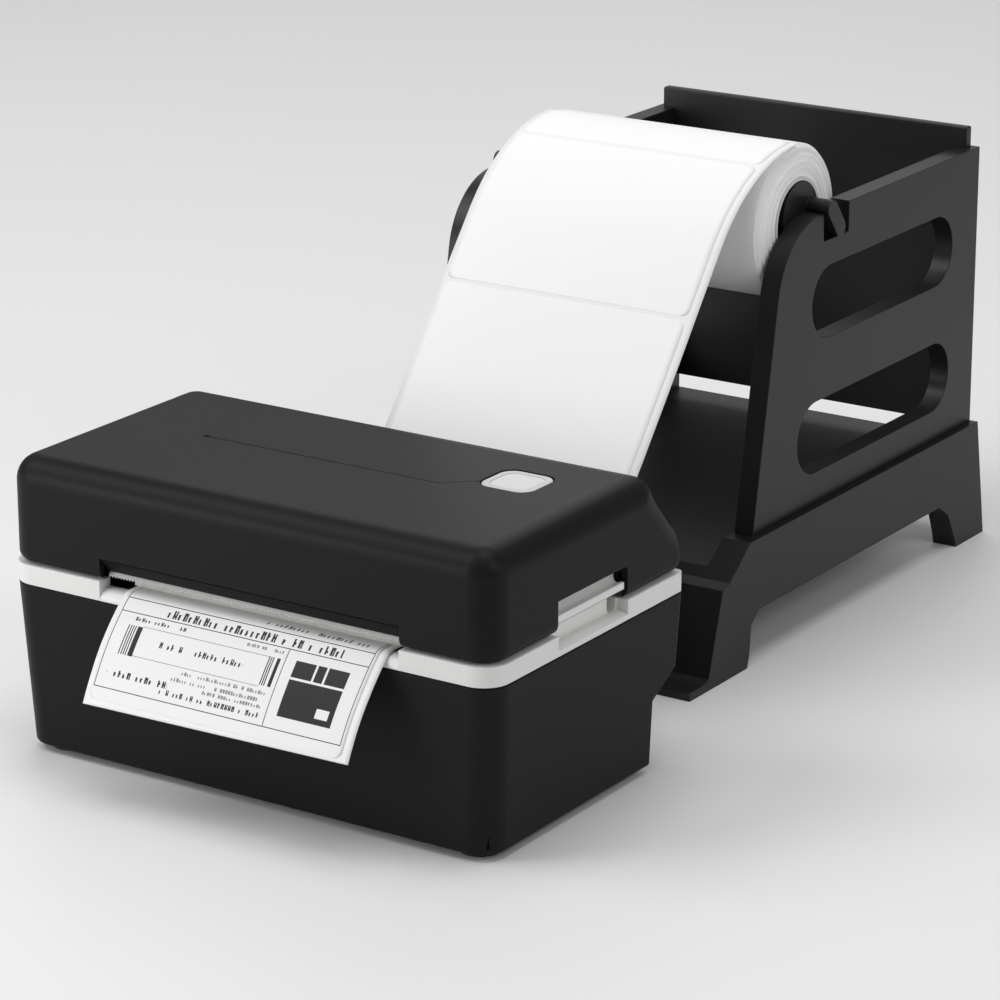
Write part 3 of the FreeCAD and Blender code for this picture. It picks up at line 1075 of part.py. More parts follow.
def holder_walls():
    outer = s.holder_half
    top = s.wall_top
    rear = holder_back - s.wall_rear_inset
    for side, name in ((-1, "left"), (1, "right")):
        x_low, x_high = sorted((s.holder_centre + side * outer,
                                s.holder_centre + side * (outer - s.wall_thick)), key=float)
        profile = [(wall_front, s.wall_base), (rear, s.wall_base), (rear, top), (notch_back, top),
                   (notch_back, s.notch_floor), (notch_front, s.notch_floor),
                   (notch_front, top - s.notch_fall),
                   (wall_front + s.wall_lean, top - s.notch_fall)]
        body, pad = drawn("wall_" + name, "YZ_Plane", profile, x_low, x_high)
        shoulder = float(wall_front + s.wall_lean)
        fillet(body, "wall_curve_" + name, pad, s.wall_curve,
               lambda box: abs(box.YMin - shoulder) < 0.01 and box.YLength < 0.01 and box.ZLength < 0.01)
        tools = []
        for key, low, front in (("upper", s.slot_upper, stand + s.slot_upper_setback),
                                ("lower", s.slot_lower, stand + s.slot_lower_setback)):
            tool = block("slot_%s_%s" % (key, name), (x_low - 1, front, low),
                         (x_high + 1, slot_back, low + s.slot_high))
            tools.append(soften("slot_round_%s_%s" % (key, name), tool, s.slot_high / 2 - 0.1,
                                lambda box: box.XLength > 3 and box.YLength < 0.1 and box.ZLength < 0.1))
        groove_end = s.holder_centre + side * (outer - s.panel_rim)
        g_low, g_high = sorted((groove_end, s.holder_centre + side * (outer - s.wall_thick - 1)), key=float)
        tools.append(block("groove_" + name, (g_low, panel_y, s.wall_base - 1),
                           (g_high, panel_y + s.panel_thick, top + 1)))
        node("holder_wall_" + name, cut("holder_wall_" + name, body, *tools))


def holder_panel():
    reach = s.holder_half - s.panel_rim
    panel = block("panel_flat", (s.holder_centre - reach, panel_y, s.wall_base),
                  (s.holder_centre + reach, panel_y + s.panel_thick, s.panel_top))
    node("holder_back_panel", soften("holder_back_panel", panel, s.panel_edge,
                                     lambda box: box.ZMin > float(s.panel_top) - NEAR))


def holder_base():
    top_half = s.holder_half + s.base_step
    low_half = top_half + s.base_flare
    outer = doc.addObject("Part::Wedge", "base_outer")
    outer.Placement = Placement(Vector(), Rotation(Vector(1, 0, 0), 90))
    bind(outer, "Placement.Base.x", s.holder_centre)
    for prop, amount in (("Xmin", -low_half), ("Xmax", low_half), ("X2min", -top_half), ("X2max", top_half),
                         ("Ymin", 0), ("Ymax", s.wall_base), ("Zmin", -holder_back), ("Zmax", -stand),
                         ("Z2min", -holder_back), ("Z2max", -stand)):
        bind(outer, prop, amount)
    shoulder = stand + s.shoulder_setback
    toe = stand + s.toe_long
    arch_front = stand + s.arch_setback
    arch_back = holder_back - s.arch_rear
    high = s.arch_high
    arch = [(arch_front - s.arch_foot, 0), (arch_front, s.arch_step),
            (arch_front + s.arch_lean, high - s.arch_step), (arch_front + s.arch_run, high),
            (arch_back - s.arch_rear_run, high), (arch_back - s.arch_rear_lean, high - s.arch_rear_lean),
            (arch_back - s.arch_rear_foot, s.arch_step), (arch_back, 0)]
    front_slope = [(wall_front - s.slope_end, s.wall_base),
                   (shoulder + s.shoulder_round, s.shoulder_high + s.shoulder_rise),
                   (shoulder - s.shoulder_ease, s.shoulder_high),
                   (toe + s.toe_round, s.toe_high + s.toe_rise), (toe, s.toe_high), (stand, s.toe_high)]
    side_view = [(stand, 0)] + arch + [(holder_back, 0), (holder_back, s.wall_base)] + front_slope
    view, _ = drawn("base_side", "YZ_Plane", side_view, s.holder_centre - low_half - BEYOND,
                    s.holder_centre + low_half + BEYOND)
    both = doc.addObject("Part::MultiCommon", "base_both")
    both.Shapes = [outer, view]
    inside = top_half - s.leg_thick
    deck_under = s.tray_high - s.tray_thick
    between = s.holder_half - s.wall_thick - s.tray_gap
    hollow = block("base_hollow", (s.holder_centre - inside, shoulder + s.front_leg, -PAST),
                   (s.holder_centre + inside, holder_back + BEYOND, deck_under))
    tray = block("base_tray", (s.holder_centre - between, shoulder, s.tray_high),
                 (s.holder_centre + between, holder_back + BEYOND, s.wall_base + BEYOND))
    node("holder_base", cut("holder_base", both, hollow, tray))
    screws = []
    for side in (-1, 1):
        x = s.holder_centre + side * (s.holder_half - s.holder_screw_in)
        for i, y in enumerate((wall_front + s.holder_screw_front, slot_back - s.holder_screw_rear)):
            screws.append(rod("holder_screw_%d_%d" % (side, i), "z", (x, y, deck_under - s.holder_screw),
                              s.holder_screw, s.holder_screw))
    node("holder_screws", group("holder_screws", *screws))


def roll():
    left = s.feed_centre - s.liner_width / 2
    wound = rod("roll_out", "x", (left, roll_y, roll_z), s.roll_radius, s.liner_width)
    core_out = s.core_radius + s.core_wall
    hole = rod("roll_in", "x", (left - 1, roll_y, roll_z), core_out, s.liner_width + 2)
    node("label_roll", cut("label_roll", wound, hole))
    tube = rod("core_out", "x", (left, roll_y, roll_z), core_out, s.liner_width)
    bore = rod("core_in", "x", (left - 1, roll_y, roll_z), s.core_radius, s.liner_width + 2)
    node("roll_core", cut("roll_core", tube, bore))


def spindle():
    left = s.feed_centre - s.liner_width / 2
    right = s.feed_centre + s.liner_width / 2
    outer = s.holder_half + s.lug_past
    for name, way, face, far in (("left", -1, left, s.holder_centre - outer),
                                 ("right", 1, right, s.holder_centre + outer)):
        end = face + way * s.flange_gap
        start = end if way < 0 else end - s.hub_deep
        plug = rod("plug_" + name, "x", (start, hub_y, hub_z), s.hub_radius, s.hub_deep)
        x_low, x_high = sorted((float(end), float(far)))
        half_flat = float(lug_flat)
        radius = float(s.lug_thick) / 2
        tilt = math.radians(-float(s.lug_tilt))
        ring = []
        for way_along in (1, -1):
            for i in range(9):
                turn = tilt + way_along * math.pi / 2 * (i / 4 - 1) + (0 if way_along > 0 else math.pi)
                ring.append((float(lug_y) + way_along * half_flat * math.cos(tilt) + radius * math.cos(turn),
                             float(lug_z) + way_along * half_flat * math.sin(tilt) + radius * math.sin(turn)))
            ring[-9:] = ring[-9:] if way_along > 0 else ring[-9:][::-1]
        lug = solid("lug_" + name, prism_x(ring, x_low, x_high))
        node("hub_" + name, fuse("hub_whole_" + name, plug, lug))
    rod_left = left - s.flange_gap + s.hub_deep
    rod_right = right + s.flange_gap - s.hub_deep
    node("spindle_rod", rod("spindle_rod", "x", (rod_left, hub_y, hub_z), s.rod_radius,
                            rod_right - rod_left))


# Build, test and write

base_shell()
bottom_pieces()
mid_frame()
deck_plate()
drive_frame()
electronics()
guides()
lid_shell()
latches()
tear_bar()
print_head()
feed_button()
paper()
holder_walls()
holder_panel()
holder_base()
roll()
spindle()
doc.recompute()

for thing in doc.Objects:
    if "Invalid" in thing.State or "Error" in thing.State:
        raise RuntimeError("%s failed: %s" % (thing.Label, thing.State))
for thing in NODES:
    if thing.Shape.isNull() or not thing.Shape.isValid() or not thing.Shape.Solids:
        raise RuntimeError("%s has no valid solid" % thing.Label)

os.makedirs("parts", exist_ok=True)
for thing in NODES:
    thing.Shape.exportStep("parts/%s.step" % thing.Label)
    box = thing.Shape.BoundBox
    print("%-20s %2d solid(s)  x %7.1f %7.1f  y %7.1f %7.1f  z %6.1f %6.1f" % (
        thing.Label, len(thing.Shape.Solids), box.XMin, box.XMax, box.YMin, box.YMax, box.ZMin, box.ZMax))
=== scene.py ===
import json
from math import cos, pi, radians, sin

import bpy
import numpy as np
from mathutils import Euler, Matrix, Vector


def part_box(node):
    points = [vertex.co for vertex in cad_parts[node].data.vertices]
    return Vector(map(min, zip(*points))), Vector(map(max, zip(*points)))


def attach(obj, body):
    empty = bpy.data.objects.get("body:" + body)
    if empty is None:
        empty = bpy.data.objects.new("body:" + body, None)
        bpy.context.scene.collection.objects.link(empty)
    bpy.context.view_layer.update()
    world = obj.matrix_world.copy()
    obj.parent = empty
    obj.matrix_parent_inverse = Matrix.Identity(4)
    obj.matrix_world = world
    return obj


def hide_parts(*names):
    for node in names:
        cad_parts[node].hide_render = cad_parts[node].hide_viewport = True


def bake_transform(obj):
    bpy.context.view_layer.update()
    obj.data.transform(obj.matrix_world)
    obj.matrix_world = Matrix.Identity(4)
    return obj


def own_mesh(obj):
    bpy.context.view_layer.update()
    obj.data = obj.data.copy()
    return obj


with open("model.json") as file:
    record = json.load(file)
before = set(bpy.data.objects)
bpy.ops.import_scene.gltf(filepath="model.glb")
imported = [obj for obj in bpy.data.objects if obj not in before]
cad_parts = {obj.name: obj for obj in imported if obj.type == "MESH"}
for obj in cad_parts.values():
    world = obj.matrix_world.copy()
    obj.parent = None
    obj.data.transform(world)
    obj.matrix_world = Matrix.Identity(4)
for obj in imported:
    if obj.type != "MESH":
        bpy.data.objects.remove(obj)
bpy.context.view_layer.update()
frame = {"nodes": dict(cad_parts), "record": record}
cadPieces = frame["nodes"]


class Wire:
    # A socket that stands in an expression: each operator adds the Math node that works it out.
    def __init__(self, shader, socket):
        self.shader = shader
        self.socket = socket

    def math(self, operation, *others):
        values = dict(enumerate((self,) + others))
        return self.shader.node("ShaderNodeMath", {"operation": operation}, values)

    def __add__(self, other):
        return self.math("ADD", other)

    def __radd__(self, other):
        return self.math("ADD", other)

    def __sub__(self, other):
        return self.math("SUBTRACT", other)

    def __rsub__(self, other):
        return self.shader.node("ShaderNodeMath", {"operation": "SUBTRACT"}, {0: other, 1: self})

    def __mul__(self, other):
        return self.math("MULTIPLY", other)

    def __rmul__(self, other):
        return self.math("MULTIPLY", other)

    def __truediv__(self, other):
        return self.math("DIVIDE", other)

    def __gt__(self, other):
        return self.math("GREATER_THAN", other)

    def __lt__(self, other):
        return self.math("LESS_THAN", other)

    def floor(self):
        return self.math("FLOOR")

    def fract(self):
        return self.math("FRACT")

    def absolute(self):
        return self.math("ABSOLUTE")

    def smooth(self, low, high):
        # 0 below low, 1 above high, eased between
        settings = {"interpolation_type": "SMOOTHSTEP"}
        return self.shader.node("ShaderNodeMapRange", settings, {0: self, 1: low, 2: high})


edgeSamples = 6            # rays that find a corner to soften


class Shader:
    # One material: Principled settings, plus whatever is linked into it afterwards.
    def __init__(self, name, **settings):
        self.material = bpy.data.materials.new(name)
        self.material.use_nodes = True
        self.tree = self.material.node_tree
        self.surface = self.tree.nodes["Principled BSDF"]
        for key, value in settings.items():
            self.surface.inputs[key.replace("_", " ")].default_value = value

    def node(self, kind, settings=None, sockets=None, output=0):
        # Any node: its settings come first, then its sockets get values or links.
        made = self.tree.nodes.new(kind)
        for key, value in (settings or {}).items():
            setattr(made, key, value)
        for key, value in (sockets or {}).items():
            self.link(value, made.inputs[key])
        return Wire(self, made.outputs[output])

    def link(self, value, socket):
        if isinstance(value, Wire):
            self.tree.links.new(value.socket, socket)
        else:
            socket.default_value = value

    def set(self, **values):
        for key, value in values.items():
            self.link(value, self.surface.inputs[key.replace("_", " ")])
        return self

    def place(self):                  # the object's own coordinates, in metres
        return self.node("ShaderNodeTexCoord", output="Object")

    def axis(self, which, vector=None):
        vector = vector or self.place()
        return self.node("ShaderNodeSeparateXYZ", None, {0: vector}, output=which)

    def scaled(self, x, y, z):        # coordinates stretched differently along each axis
        return self.node("ShaderNodeVectorMath", {"operation": "MULTIPLY"}, {0: self.place(), 1: (x, y, z)})

    def noise(self, scale, detail=3.0, rough=0.55, vector=None):
        sockets = {"Vector": vector or self.place(), "Scale": scale, "Detail": detail, "Roughness": rough}
        return self.node("ShaderNodeTexNoise", None, sockets)

    def cells(self, scale):
        return self.node("ShaderNodeTexVoronoi", None, {"Vector": self.place(), "Scale": scale})

    def chance(self, number):         # a random value from 0 to 1 that belongs to a whole number
        return self.node("ShaderNodeTexWhiteNoise", {"noise_dimensions": "1D"}, {"W": number}, "Value")

    def mix(self, mask, a, b):        # colours
        return self.node("ShaderNodeMix", {"data_type": "RGBA"}, {0: mask, 6: a, 7: b}, 2)

    def relief(self, height, depth, edge=0.0):
        # Bump from a height; edge softens sharp corners over that radius, as moulded corners are.
        sockets = {"Height": height, "Distance": depth, "Strength": 1.0}
        if edge:
            sockets["Normal"] = self.node("ShaderNodeBevel", {"samples": edgeSamples}, {"Radius": edge})
        return self.set(Normal=self.node("ShaderNodeBump", None, sockets))

    def uv(self, which):
        return self.axis(which, self.node("ShaderNodeUVMap", {"uv_map": "flat"}))


def grey(value, tint=(1.0, 1.0, 1.0)):     # a colour of that brightness, tinted
    return (value * tint[0], value * tint[1], value * tint[2], 1.0)


print("materials")

# shade is the colour's grey, gloss the roughness, sheen the specular level, grain the pits' depth in
# metres and scale their fineness.
plastic = {
    "casing": {"shade": 0.0100, "gloss": 0.42, "sheen": 0.10, "grain": 0.0000075, "scale": 2600.0,
               "tint": (1.0, 1.0, 1.03)},
    # the mouth insert: matt, with a shade darker than the casing's that is painted shade inside the mouth
    "insert": {"shade": 0.0060, "gloss": 0.62, "sheen": 0.10, "grain": 0.000006, "scale": 2400.0,
               "tint": (1.0, 1.0, 1.0)},
    "stand": {"shade": 0.0105, "gloss": 0.38, "sheen": 0.34, "grain": 0.000006, "scale": 2200.0,
              "tint": (1.0, 1.0, 1.02)},
    "inside": {"shade": 0.020, "gloss": 0.55, "sheen": 0.40, "grain": 0.00001, "scale": 1800.0,
               "tint": (1.0, 1.0, 1.0)},
    "band": {"shade": 0.74, "gloss": 0.36, "sheen": 0.50, "grain": 0.000006, "scale": 2400.0,
             "tint": (1.0, 1.0, 0.985)},
    "gear": {"shade": 0.66, "gloss": 0.42, "sheen": 0.50, "grain": 0.000006, "scale": 2400.0,
             "tint": (1.0, 0.98, 0.90)},
    "socket": {"shade": 0.012, "gloss": 0.24, "sheen": 0.50, "grain": 0.000003, "scale": 2600.0,
               "tint": (1.0, 1.0, 1.0)},
    "button": {"shade": 0.50, "gloss": 0.30, "sheen": 0.50, "grain": 0.000003, "scale": 2600.0,
               "tint": (1.0, 1.0, 1.0)},
    "lens": {"shade": 0.58, "gloss": 0.22, "sheen": 0.50, "grain": 0.000002, "scale": 2600.0,
             "tint": (1.0, 1.0, 1.0)},
}
mould = {
    "edge": 0.0005,            # radius of the soft corners that mouldings have
    "bend": 1.49,              # refraction
    "darker": 0.93,            # how far the shade drifts down and up
    "lighter": 1.08,
    "flowScale": 9.0,          # flow marks in the plastic, and how they are drawn out
    "flowStretch": (1.0, 0.4, 2.2),
    "flowGloss": 0.07,
    "pitGloss": 0.10,
    "speckScale": 0.55,        # larger pits between the small ones
    "speckDepth": 0.6,
    "flowShare": 0.7,          # what the flow marks and the pits add to the shade
    "pitShare": 0.3,
}


def mouldedPlastic(key):
    # Spark-eroded texture: fine pits over faint flow marks; the gloss drifts slightly over the face.
    look = plastic[key]
    shader = Shader(key + "Plastic", IOR=mould["bend"], Specular_IOR_Level=look["sheen"])
    pits = shader.noise(look["scale"], 2.0, 0.6)
    flow = shader.noise(mould["flowScale"], 4.0, 0.6, shader.scaled(*mould["flowStretch"]))
    speck = shader.cells(look["scale"] * mould["speckScale"])
    dark = grey(look["shade"] * mould["darker"], look["tint"])
    light = grey(look["shade"] * mould["lighter"], look["tint"])
    shader.set(Base_Color=shader.mix(flow * mould["flowShare"] + pits * mould["pitShare"], dark, light),
               Roughness=look["gloss"] + (flow - 0.5) * mould["flowGloss"] + (pits - 0.5) * mould["pitGloss"])
    return shader.relief(pits + speck * mould["speckDepth"], look["grain"], mould["edge"]).material


# grain is how finely the tool marks lie along each axis
metal = {
    "brightSteel": {"shade": (0.62, 0.62, 0.60), "gloss": 0.22, "grain": (9.0, 900.0, 900.0),
                    "metallic": 1.0},
    # the tear blade: steel, whitened and made mostly non-metallic, so its bright colour is partly a painted
    # glint
    "bladeSteelPaintedGlint": {"shade": (0.93, 0.93, 0.92), "gloss": 0.45, "grain": (9.0, 900.0, 900.0),
                   "metallic": 0.25},
    "platedSteel": {"shade": (0.50, 0.51, 0.52), "gloss": 0.34, "grain": (500.0, 14.0, 500.0),
                    "metallic": 1.0},
    "aluminium": {"shade": (0.72, 0.72, 0.73), "gloss": 0.32, "grain": (6.0, 700.0, 700.0), "metallic": 1.0},
    "bronze": {"shade": (0.42, 0.27, 0.12), "gloss": 0.40, "grain": (400.0, 400.0, 400.0), "metallic": 1.0},
}
metalWork = {"cloudScale": 60.0, "darker": 0.82, "lineShare": 0.6, "cloudShare": 0.4, "lineGloss": 0.16,
             "cloudGloss": 0.05, "lineDepth": 0.00001}


def workedMetal(key):
    # Fine lines along the way the piece was drawn or ground, with faint clouding.
    look = metal[key]
    shader = Shader(key, Metallic=look["metallic"])
    lines = shader.noise(1.0, 3.0, 0.6, shader.scaled(*look["grain"]))
    cloud = shader.noise(metalWork["cloudScale"], 3.0)
    light = look["shade"] + (1.0,)
    dark = tuple(c * metalWork["darker"] for c in look["shade"]) + (1.0,)
    gloss = look["gloss"] + (lines - 0.5) * metalWork["lineGloss"] + (cloud - 0.5) * metalWork["cloudGloss"]
    mask = lines * metalWork["lineShare"] + cloud * metalWork["cloudShare"]
    shader.set(Base_Color=shader.mix(mask, dark, light), Roughness=gloss)
    return shader.relief(lines, metalWork["lineDepth"]).material


rubberLook = {"dark": 0.012, "light": 0.024, "gloss": 0.72, "sheen": 0.35, "grainScale": 1500.0,
              "ringStretch": (700.0, 30.0, 30.0), "ringGloss": 0.2, "depth": 0.00001}


def rubber():
    # Ground rubber: fine grain, and faint rings round the roller from the grinding.
    look = rubberLook
    shader = Shader("rubber", Specular_IOR_Level=look["sheen"])
    grain = shader.noise(look["grainScale"], 3.0)
    rings = shader.noise(1.0, 2.0, 0.5, shader.scaled(*look["ringStretch"]))
    shader.set(Base_Color=shader.mix(grain, grey(look["dark"]), grey(look["light"])),
               Roughness=look["gloss"] + (rings - 0.5) * look["ringGloss"])
    return shader.relief(grain + rings, look["depth"]).material


ceramicLook = {"dark": 0.62, "darkTint": (1.0, 0.98, 0.92), "light": 0.72, "lightTint": (1.0, 0.98, 0.93),
               "heater": (0.10, 0.07, 0.05, 1.0), "heaterHalf": 0.0006,
               "gloss": 0.22, "cloudScale": 300.0, "cloudGloss": 0.1, "glaze": 0.4, "glazeGloss": 0.08}


def ceramic():
    # Glazed bar with a dark line of heaters over the platen's middle.
    look = ceramicLook
    shader = Shader("glazedCeramic", Coat_Weight=look["glaze"], Coat_Roughness=look["glazeGloss"])
    cloud = shader.noise(look["cloudScale"])
    heater = (shader.axis(1) - printLine).absolute() < look["heaterHalf"]
    dark = grey(look["dark"], look["darkTint"])
    body = shader.mix(cloud, dark, grey(look["light"], look["lightTint"]))
    return shader.set(Base_Color=shader.mix(heater, body, look["heater"]),
                      Roughness=look["gloss"] + (cloud - 0.5) * look["cloudGloss"]).material


boardLook = {
    "pitch": 0.0013,                       # from one copper track to the next
    "block": (0.011, 0.009),               # size of the fields in which tracks keep one direction
    "trackHalf": 0.22, "bareShare": 0.18, "padScale": 420.0, "padSize": 0.16,
    "lacquer": (0.004, 0.060, 0.022, 1.0), "copper": (0.010, 0.115, 0.045, 1.0),
    "pad": (0.55, 0.52, 0.44, 1.0),
    "gloss": 0.32, "padGloss": 0.08, "padMetal": 0.8, "coat": 0.5, "coatGloss": 0.15, "depth": 0.00003,
    "trackRise": 0.5,                      # a track's height against a pad's
}


def circuitBoard():
    # Copper tracks under green lacquer: bands that step at right angles, with bare pads.
    look = boardLook
    shader = Shader("circuitBoard", Coat_Weight=look["coat"], Coat_Roughness=look["coatGloss"])
    x, y = shader.axis(0), shader.axis(1)
    wide, long = look["block"]
    field = shader.node("ShaderNodeCombineXYZ", None, {0: (x / wide).floor(), 1: (y / long).floor()})
    block = shader.node("ShaderNodeTexWhiteNoise", {"noise_dimensions": "2D"}, {"Vector": field}, "Value")
    across = block > 0.5
    line = (x * across + y * (1 - across)) / look["pitch"]
    track = ((line.fract() - 0.5).absolute() < look["trackHalf"]) * (block > look["bareShare"])
    pad = shader.cells(look["padScale"]) < look["padSize"]
    green = shader.mix(track, look["lacquer"], look["copper"])
    shader.set(Base_Color=shader.mix(pad, green, look["pad"]),
               Roughness=look["gloss"] - pad * look["padGloss"],
               Metallic=pad * look["padMetal"])
    return shader.relief(track * look["trackRise"] + pad, look["depth"]).material


chipLook = {"dark": 0.012, "light": 0.022, "gloss": 0.5, "grainScale": 2400.0, "grainGloss": 0.2,
            "depth": 0.00001}


def chipPackage():
    # Moulded chip housing: a fine matt grain.
    look = chipLook
    shader = Shader("chipPackage")
    grain = shader.noise(look["grainScale"])
    shader.set(Base_Color=shader.mix(grain, grey(look["dark"]), grey(look["light"])),
               Roughness=look["gloss"] + (grain - 0.5) * look["grainGloss"])
    return shader.relief(grain, look["depth"]).material


coreLook = {
    "dark": (0.56, 0.55, 0.52, 1.0), "light": (0.66, 0.65, 0.62, 1.0), "seam": (0.40, 0.38, 0.34, 1.0),
    "wrap": 0.022, "slant": 0.05, "seamShare": 0.04, "gloss": 0.85, "fibreGloss": 0.1, "fibreScale": 900.0,
    "fibreStretch": (0.3, 1.0, 1.0), "slantScale": 30.0, "fuzz": 0.1, "depth": 0.00004, "seamDepth": 0.6,
}


def coreBoard():
    # Spiral-wound white-lined board: slanted wraps with a darker seam, over paper fibre.
    look = coreLook
    shader = Shader("coreBoard", Sheen_Weight=look["fuzz"])
    fibre = shader.noise(look["fibreScale"], 4.0, 0.7, shader.scaled(*look["fibreStretch"]))
    wrap = (shader.axis(0) / look["wrap"] + shader.noise(look["slantScale"]) * look["slant"]).fract()
    seam = wrap < look["seamShare"]
    paper = shader.mix(fibre, look["dark"], look["light"])
    shader.set(Base_Color=shader.mix(seam, paper, look["seam"]),
               Roughness=look["gloss"] + (fibre - 0.5) * look["fibreGloss"])
    return shader.relief(fibre - seam * look["seamDepth"], look["depth"]).material


paperLook = {"fibreScale": 700.0, "cloudScale": 22.0, "darker": 0.975, "lighter": 1.01, "sheen": 0.22,
             "fibreGloss": 0.12, "depth": 0.000006, "darkTint": (1.0, 1.0, 0.995)}
paperShades = {"linerPaper": (0.83, 0.50), "labelPaper": (0.88, 0.46), "woundPaper": (0.90, 0.55),
               "printedPaper": (0.80, 0.42)}      # shade and roughness


def paperBase(name):
    # Coated paper: barely visible fibre in colour, gloss and relief.
    look = paperLook
    shade, rough = paperShades[name]
    shader = Shader(name, Specular_IOR_Level=look["sheen"])
    fibre = shader.noise(look["fibreScale"], 4.0, 0.65)
    cloud = shader.noise(look["cloudScale"], 3.0)
    dark = grey(shade * look["darker"], look["darkTint"])
    shader.paper = shader.mix(fibre * 0.5 + cloud * 0.5, dark, grey(shade * look["lighter"]))
    shader.set(Roughness=rough + (fibre - 0.5) * look["fibreGloss"])
    shader.relief(fibre, look["depth"])
    return shader


def plainPaper(name):
    shader = paperBase(name)
    return shader.set(Base_Color=shader.paper).material


woundLook = {
    "turn": 0.00034,           # thickness of one turn of liner and labels
    "waver": 0.0009,           # how far the turns stray from true rings
    "waverScale": 40.0,
    "edge": 0.22,              # how dark the painted shade in the gap between two turns is
    "shade": 0.16,             # how much the turns differ
    "dark": 0.55,
    "gap": (0.30, 0.5),        # the painted shade in the gap eases in between these shares of half a turn
    "rim": 0.0022,             # how far in from each end the edges show
}


def woundPaper():
    # The roll's ends show the edges of its turns: fine rings, some darker than others at random, with painted
    # shade in the gaps between turns.
    look = woundLook
    shader = paperBase("woundPaper")
    y = shader.axis(1) - rollMiddle[1]
    z = shader.axis(2) - rollMiddle[2]
    radius = (y * y + z * z).math("SQRT")
    turns = (radius + shader.noise(look["waverScale"], 2.0) * look["waver"]) / look["turn"]
    # painted shade in the gap where one turn meets the next
    edge = (turns.fract() - 0.5).absolute().smooth(*look["gap"])
    onEnd = (shader.axis(0) - rollMiddle[0]).absolute() > rollHalf - look["rim"]
    mask = onEnd * (edge * look["edge"] + shader.chance(turns.floor()) * look["shade"])
    return shader.set(Base_Color=shader.mix(mask, shader.paper, grey(look["dark"]))).material


# The label's own print, in metres: x runs from its left edge, y up from the strip's hanging end.
labelPrint = {
    "rule": 0.00030,
    "frame": (0.0010, 0.0070, 0.1002, 0.0800),
    "titleLines": (0.0336, 0.0386),
    "divider": 0.0692,
    "bars": [
        {"left": 0.0063, "right": 0.0121, "low": 0.0190, "high": 0.0294, "thick": 0.0020,
         "lines": (0.0, 0.0010, 0.0019, 0.0028)},
        {"left": 0.0631, "right": 0.0676, "low": 0.0199, "high": 0.0298, "thick": 0.0013,
         "lines": (0.0, 0.0008, 0.0016)},
    ],
    "joins": (0.0193, 0.0296),
    # each row of marks: left, right, foot, height, width of one mark, weight, seed
    "rows": [
        (0.0166, 0.0890, 0.0346, 0.0030, 0.0021, 1.0, 3),
        (0.0560, 0.0960, 0.0405, 0.0021, 0.0017, 0.9, 5),
        (0.0076, 0.0286, 0.0312, 0.0014, 0.0013, 1.0, 11),
        (0.0526, 0.0676, 0.0315, 0.0011, 0.0010, 0.8, 17),
        (0.0210, 0.0546, 0.0239, 0.0021, 0.0016, 1.0, 19),
        (0.0331, 0.0671, 0.0169, 0.0013, 0.0011, 0.8, 23),
        (0.0296, 0.0670, 0.0144, 0.0013, 0.0011, 0.8, 29),
        (0.0431, 0.0666, 0.0124, 0.0012, 0.0011, 0.8, 31),
        (0.0266, 0.0666, 0.0093, 0.0018, 0.0014, 1.0, 37),
        (0.0046, 0.0291, 0.0114, 0.0022, 0.0018, 1.0, 43),
    ],
    "parcel": {"left": 0.0735, "right": 0.0945, "low": 0.0115, "high": 0.0305, "tape": 0.0050, "lid": 0.0240,
               "line": 0.0008},
    "docket": (0.0035, 0.0020, 0.0032),      # gap right of the middle, margin, height
    "lineWide": 0.00042,
    "joinShare": 0.5,                        # a join's thickness against a rule's
    "ink": (0.006, 0.006, 0.007, 1.0),
    "mottle": (2600.0, 0.02),                # fineness, and how much it lightens the ink
}


# One mark as shares of its cell's width and the row's height; pick and other are the cell's random values.
stroke = {
    "otherSeed": (1.7, 3),                   # steps of cell and seed that other is drawn with
    "stem": (0.08, 0.38), "stemGrows": 0.12,         # from, to, and how much wider other makes it
    "arm": (0.10, 0.40), "armGrows": 0.42, "armFoot": 0.7, "armThick": 0.30,
    "short": 0.66, "taller": 0.34,
    "second": (0.56, 0.84), "secondOver": 0.62,      # a second stroke where pick is over this
    "emptyUnder": 0.17,                      # a cell is empty where other is under this
}


def area(x, y, left, low, right, high):      # 1 inside the rectangle, 0 outside
    return (x > left) * (x < right) * (y > low) * (y < high)


def markRow(shader, x, y, left, right, foot, height, width, weight, seed):
    # Made-up marks: each cell holds a stroke of its own width and height, some with a bar beside it,
    # and some cells stay empty, which breaks the row into words.
    look = stroke
    cellStep, seedStep = look["otherSeed"]
    stemFrom, stemTo = look["stem"]
    armFrom, armTo = look["arm"]
    secondFrom, secondTo = look["second"]
    cell = (x / width).floor()
    pick = shader.chance(cell + seed)
    other = shader.chance(cell * cellStep + seed * seedStep)
    across = (x / width).fract()
    up = (y - foot) / height
    stem = (across > stemFrom) * (across < stemTo + other * look["stemGrows"])
    armEnd = across < armTo + pick * look["armGrows"]
    arm = armEnd * (up > other * look["armFoot"]) * (up < other * look["armFoot"] + look["armThick"])
    tall = (up > 0) * (up < look["short"] + (pick > 0.5) * look["taller"])
    second = (pick > look["secondOver"]) * (across > secondFrom) * (across < secondTo)
    filled = other > look["emptyUnder"]
    strokes = ((stem + second) * tall + arm * tall * (across > armFrom)).math("MINIMUM", 1.0)
    return strokes * filled * (x > left) * (x < right) * weight


def parcelMark(x, y, look):
    # A plain parcel seen from the front: a dark square, its lid line and tape edges left white.
    middle = (look["left"] + look["right"]) / 2
    tapeHalf = look["tape"] / 2
    innerHalf = tapeHalf - look["line"]
    gap, margin, height = labelPrint["docket"]
    foot = look["low"] + margin
    body = area(x, y, look["left"], look["low"], look["right"], look["high"])
    lid = area(x, y, look["left"], look["lid"], look["right"], look["lid"] + look["line"])
    tape = area(x, y, middle - tapeHalf, look["lid"], middle + tapeHalf, look["high"])
    inner = area(x, y, middle - innerHalf, look["lid"], middle + innerHalf, look["high"])
    docket = area(x, y, middle + gap, foot, look["right"] - margin, foot + height)
    return body * (1 - lid) * (1 - tape * (1 - inner)) * (1 - docket)


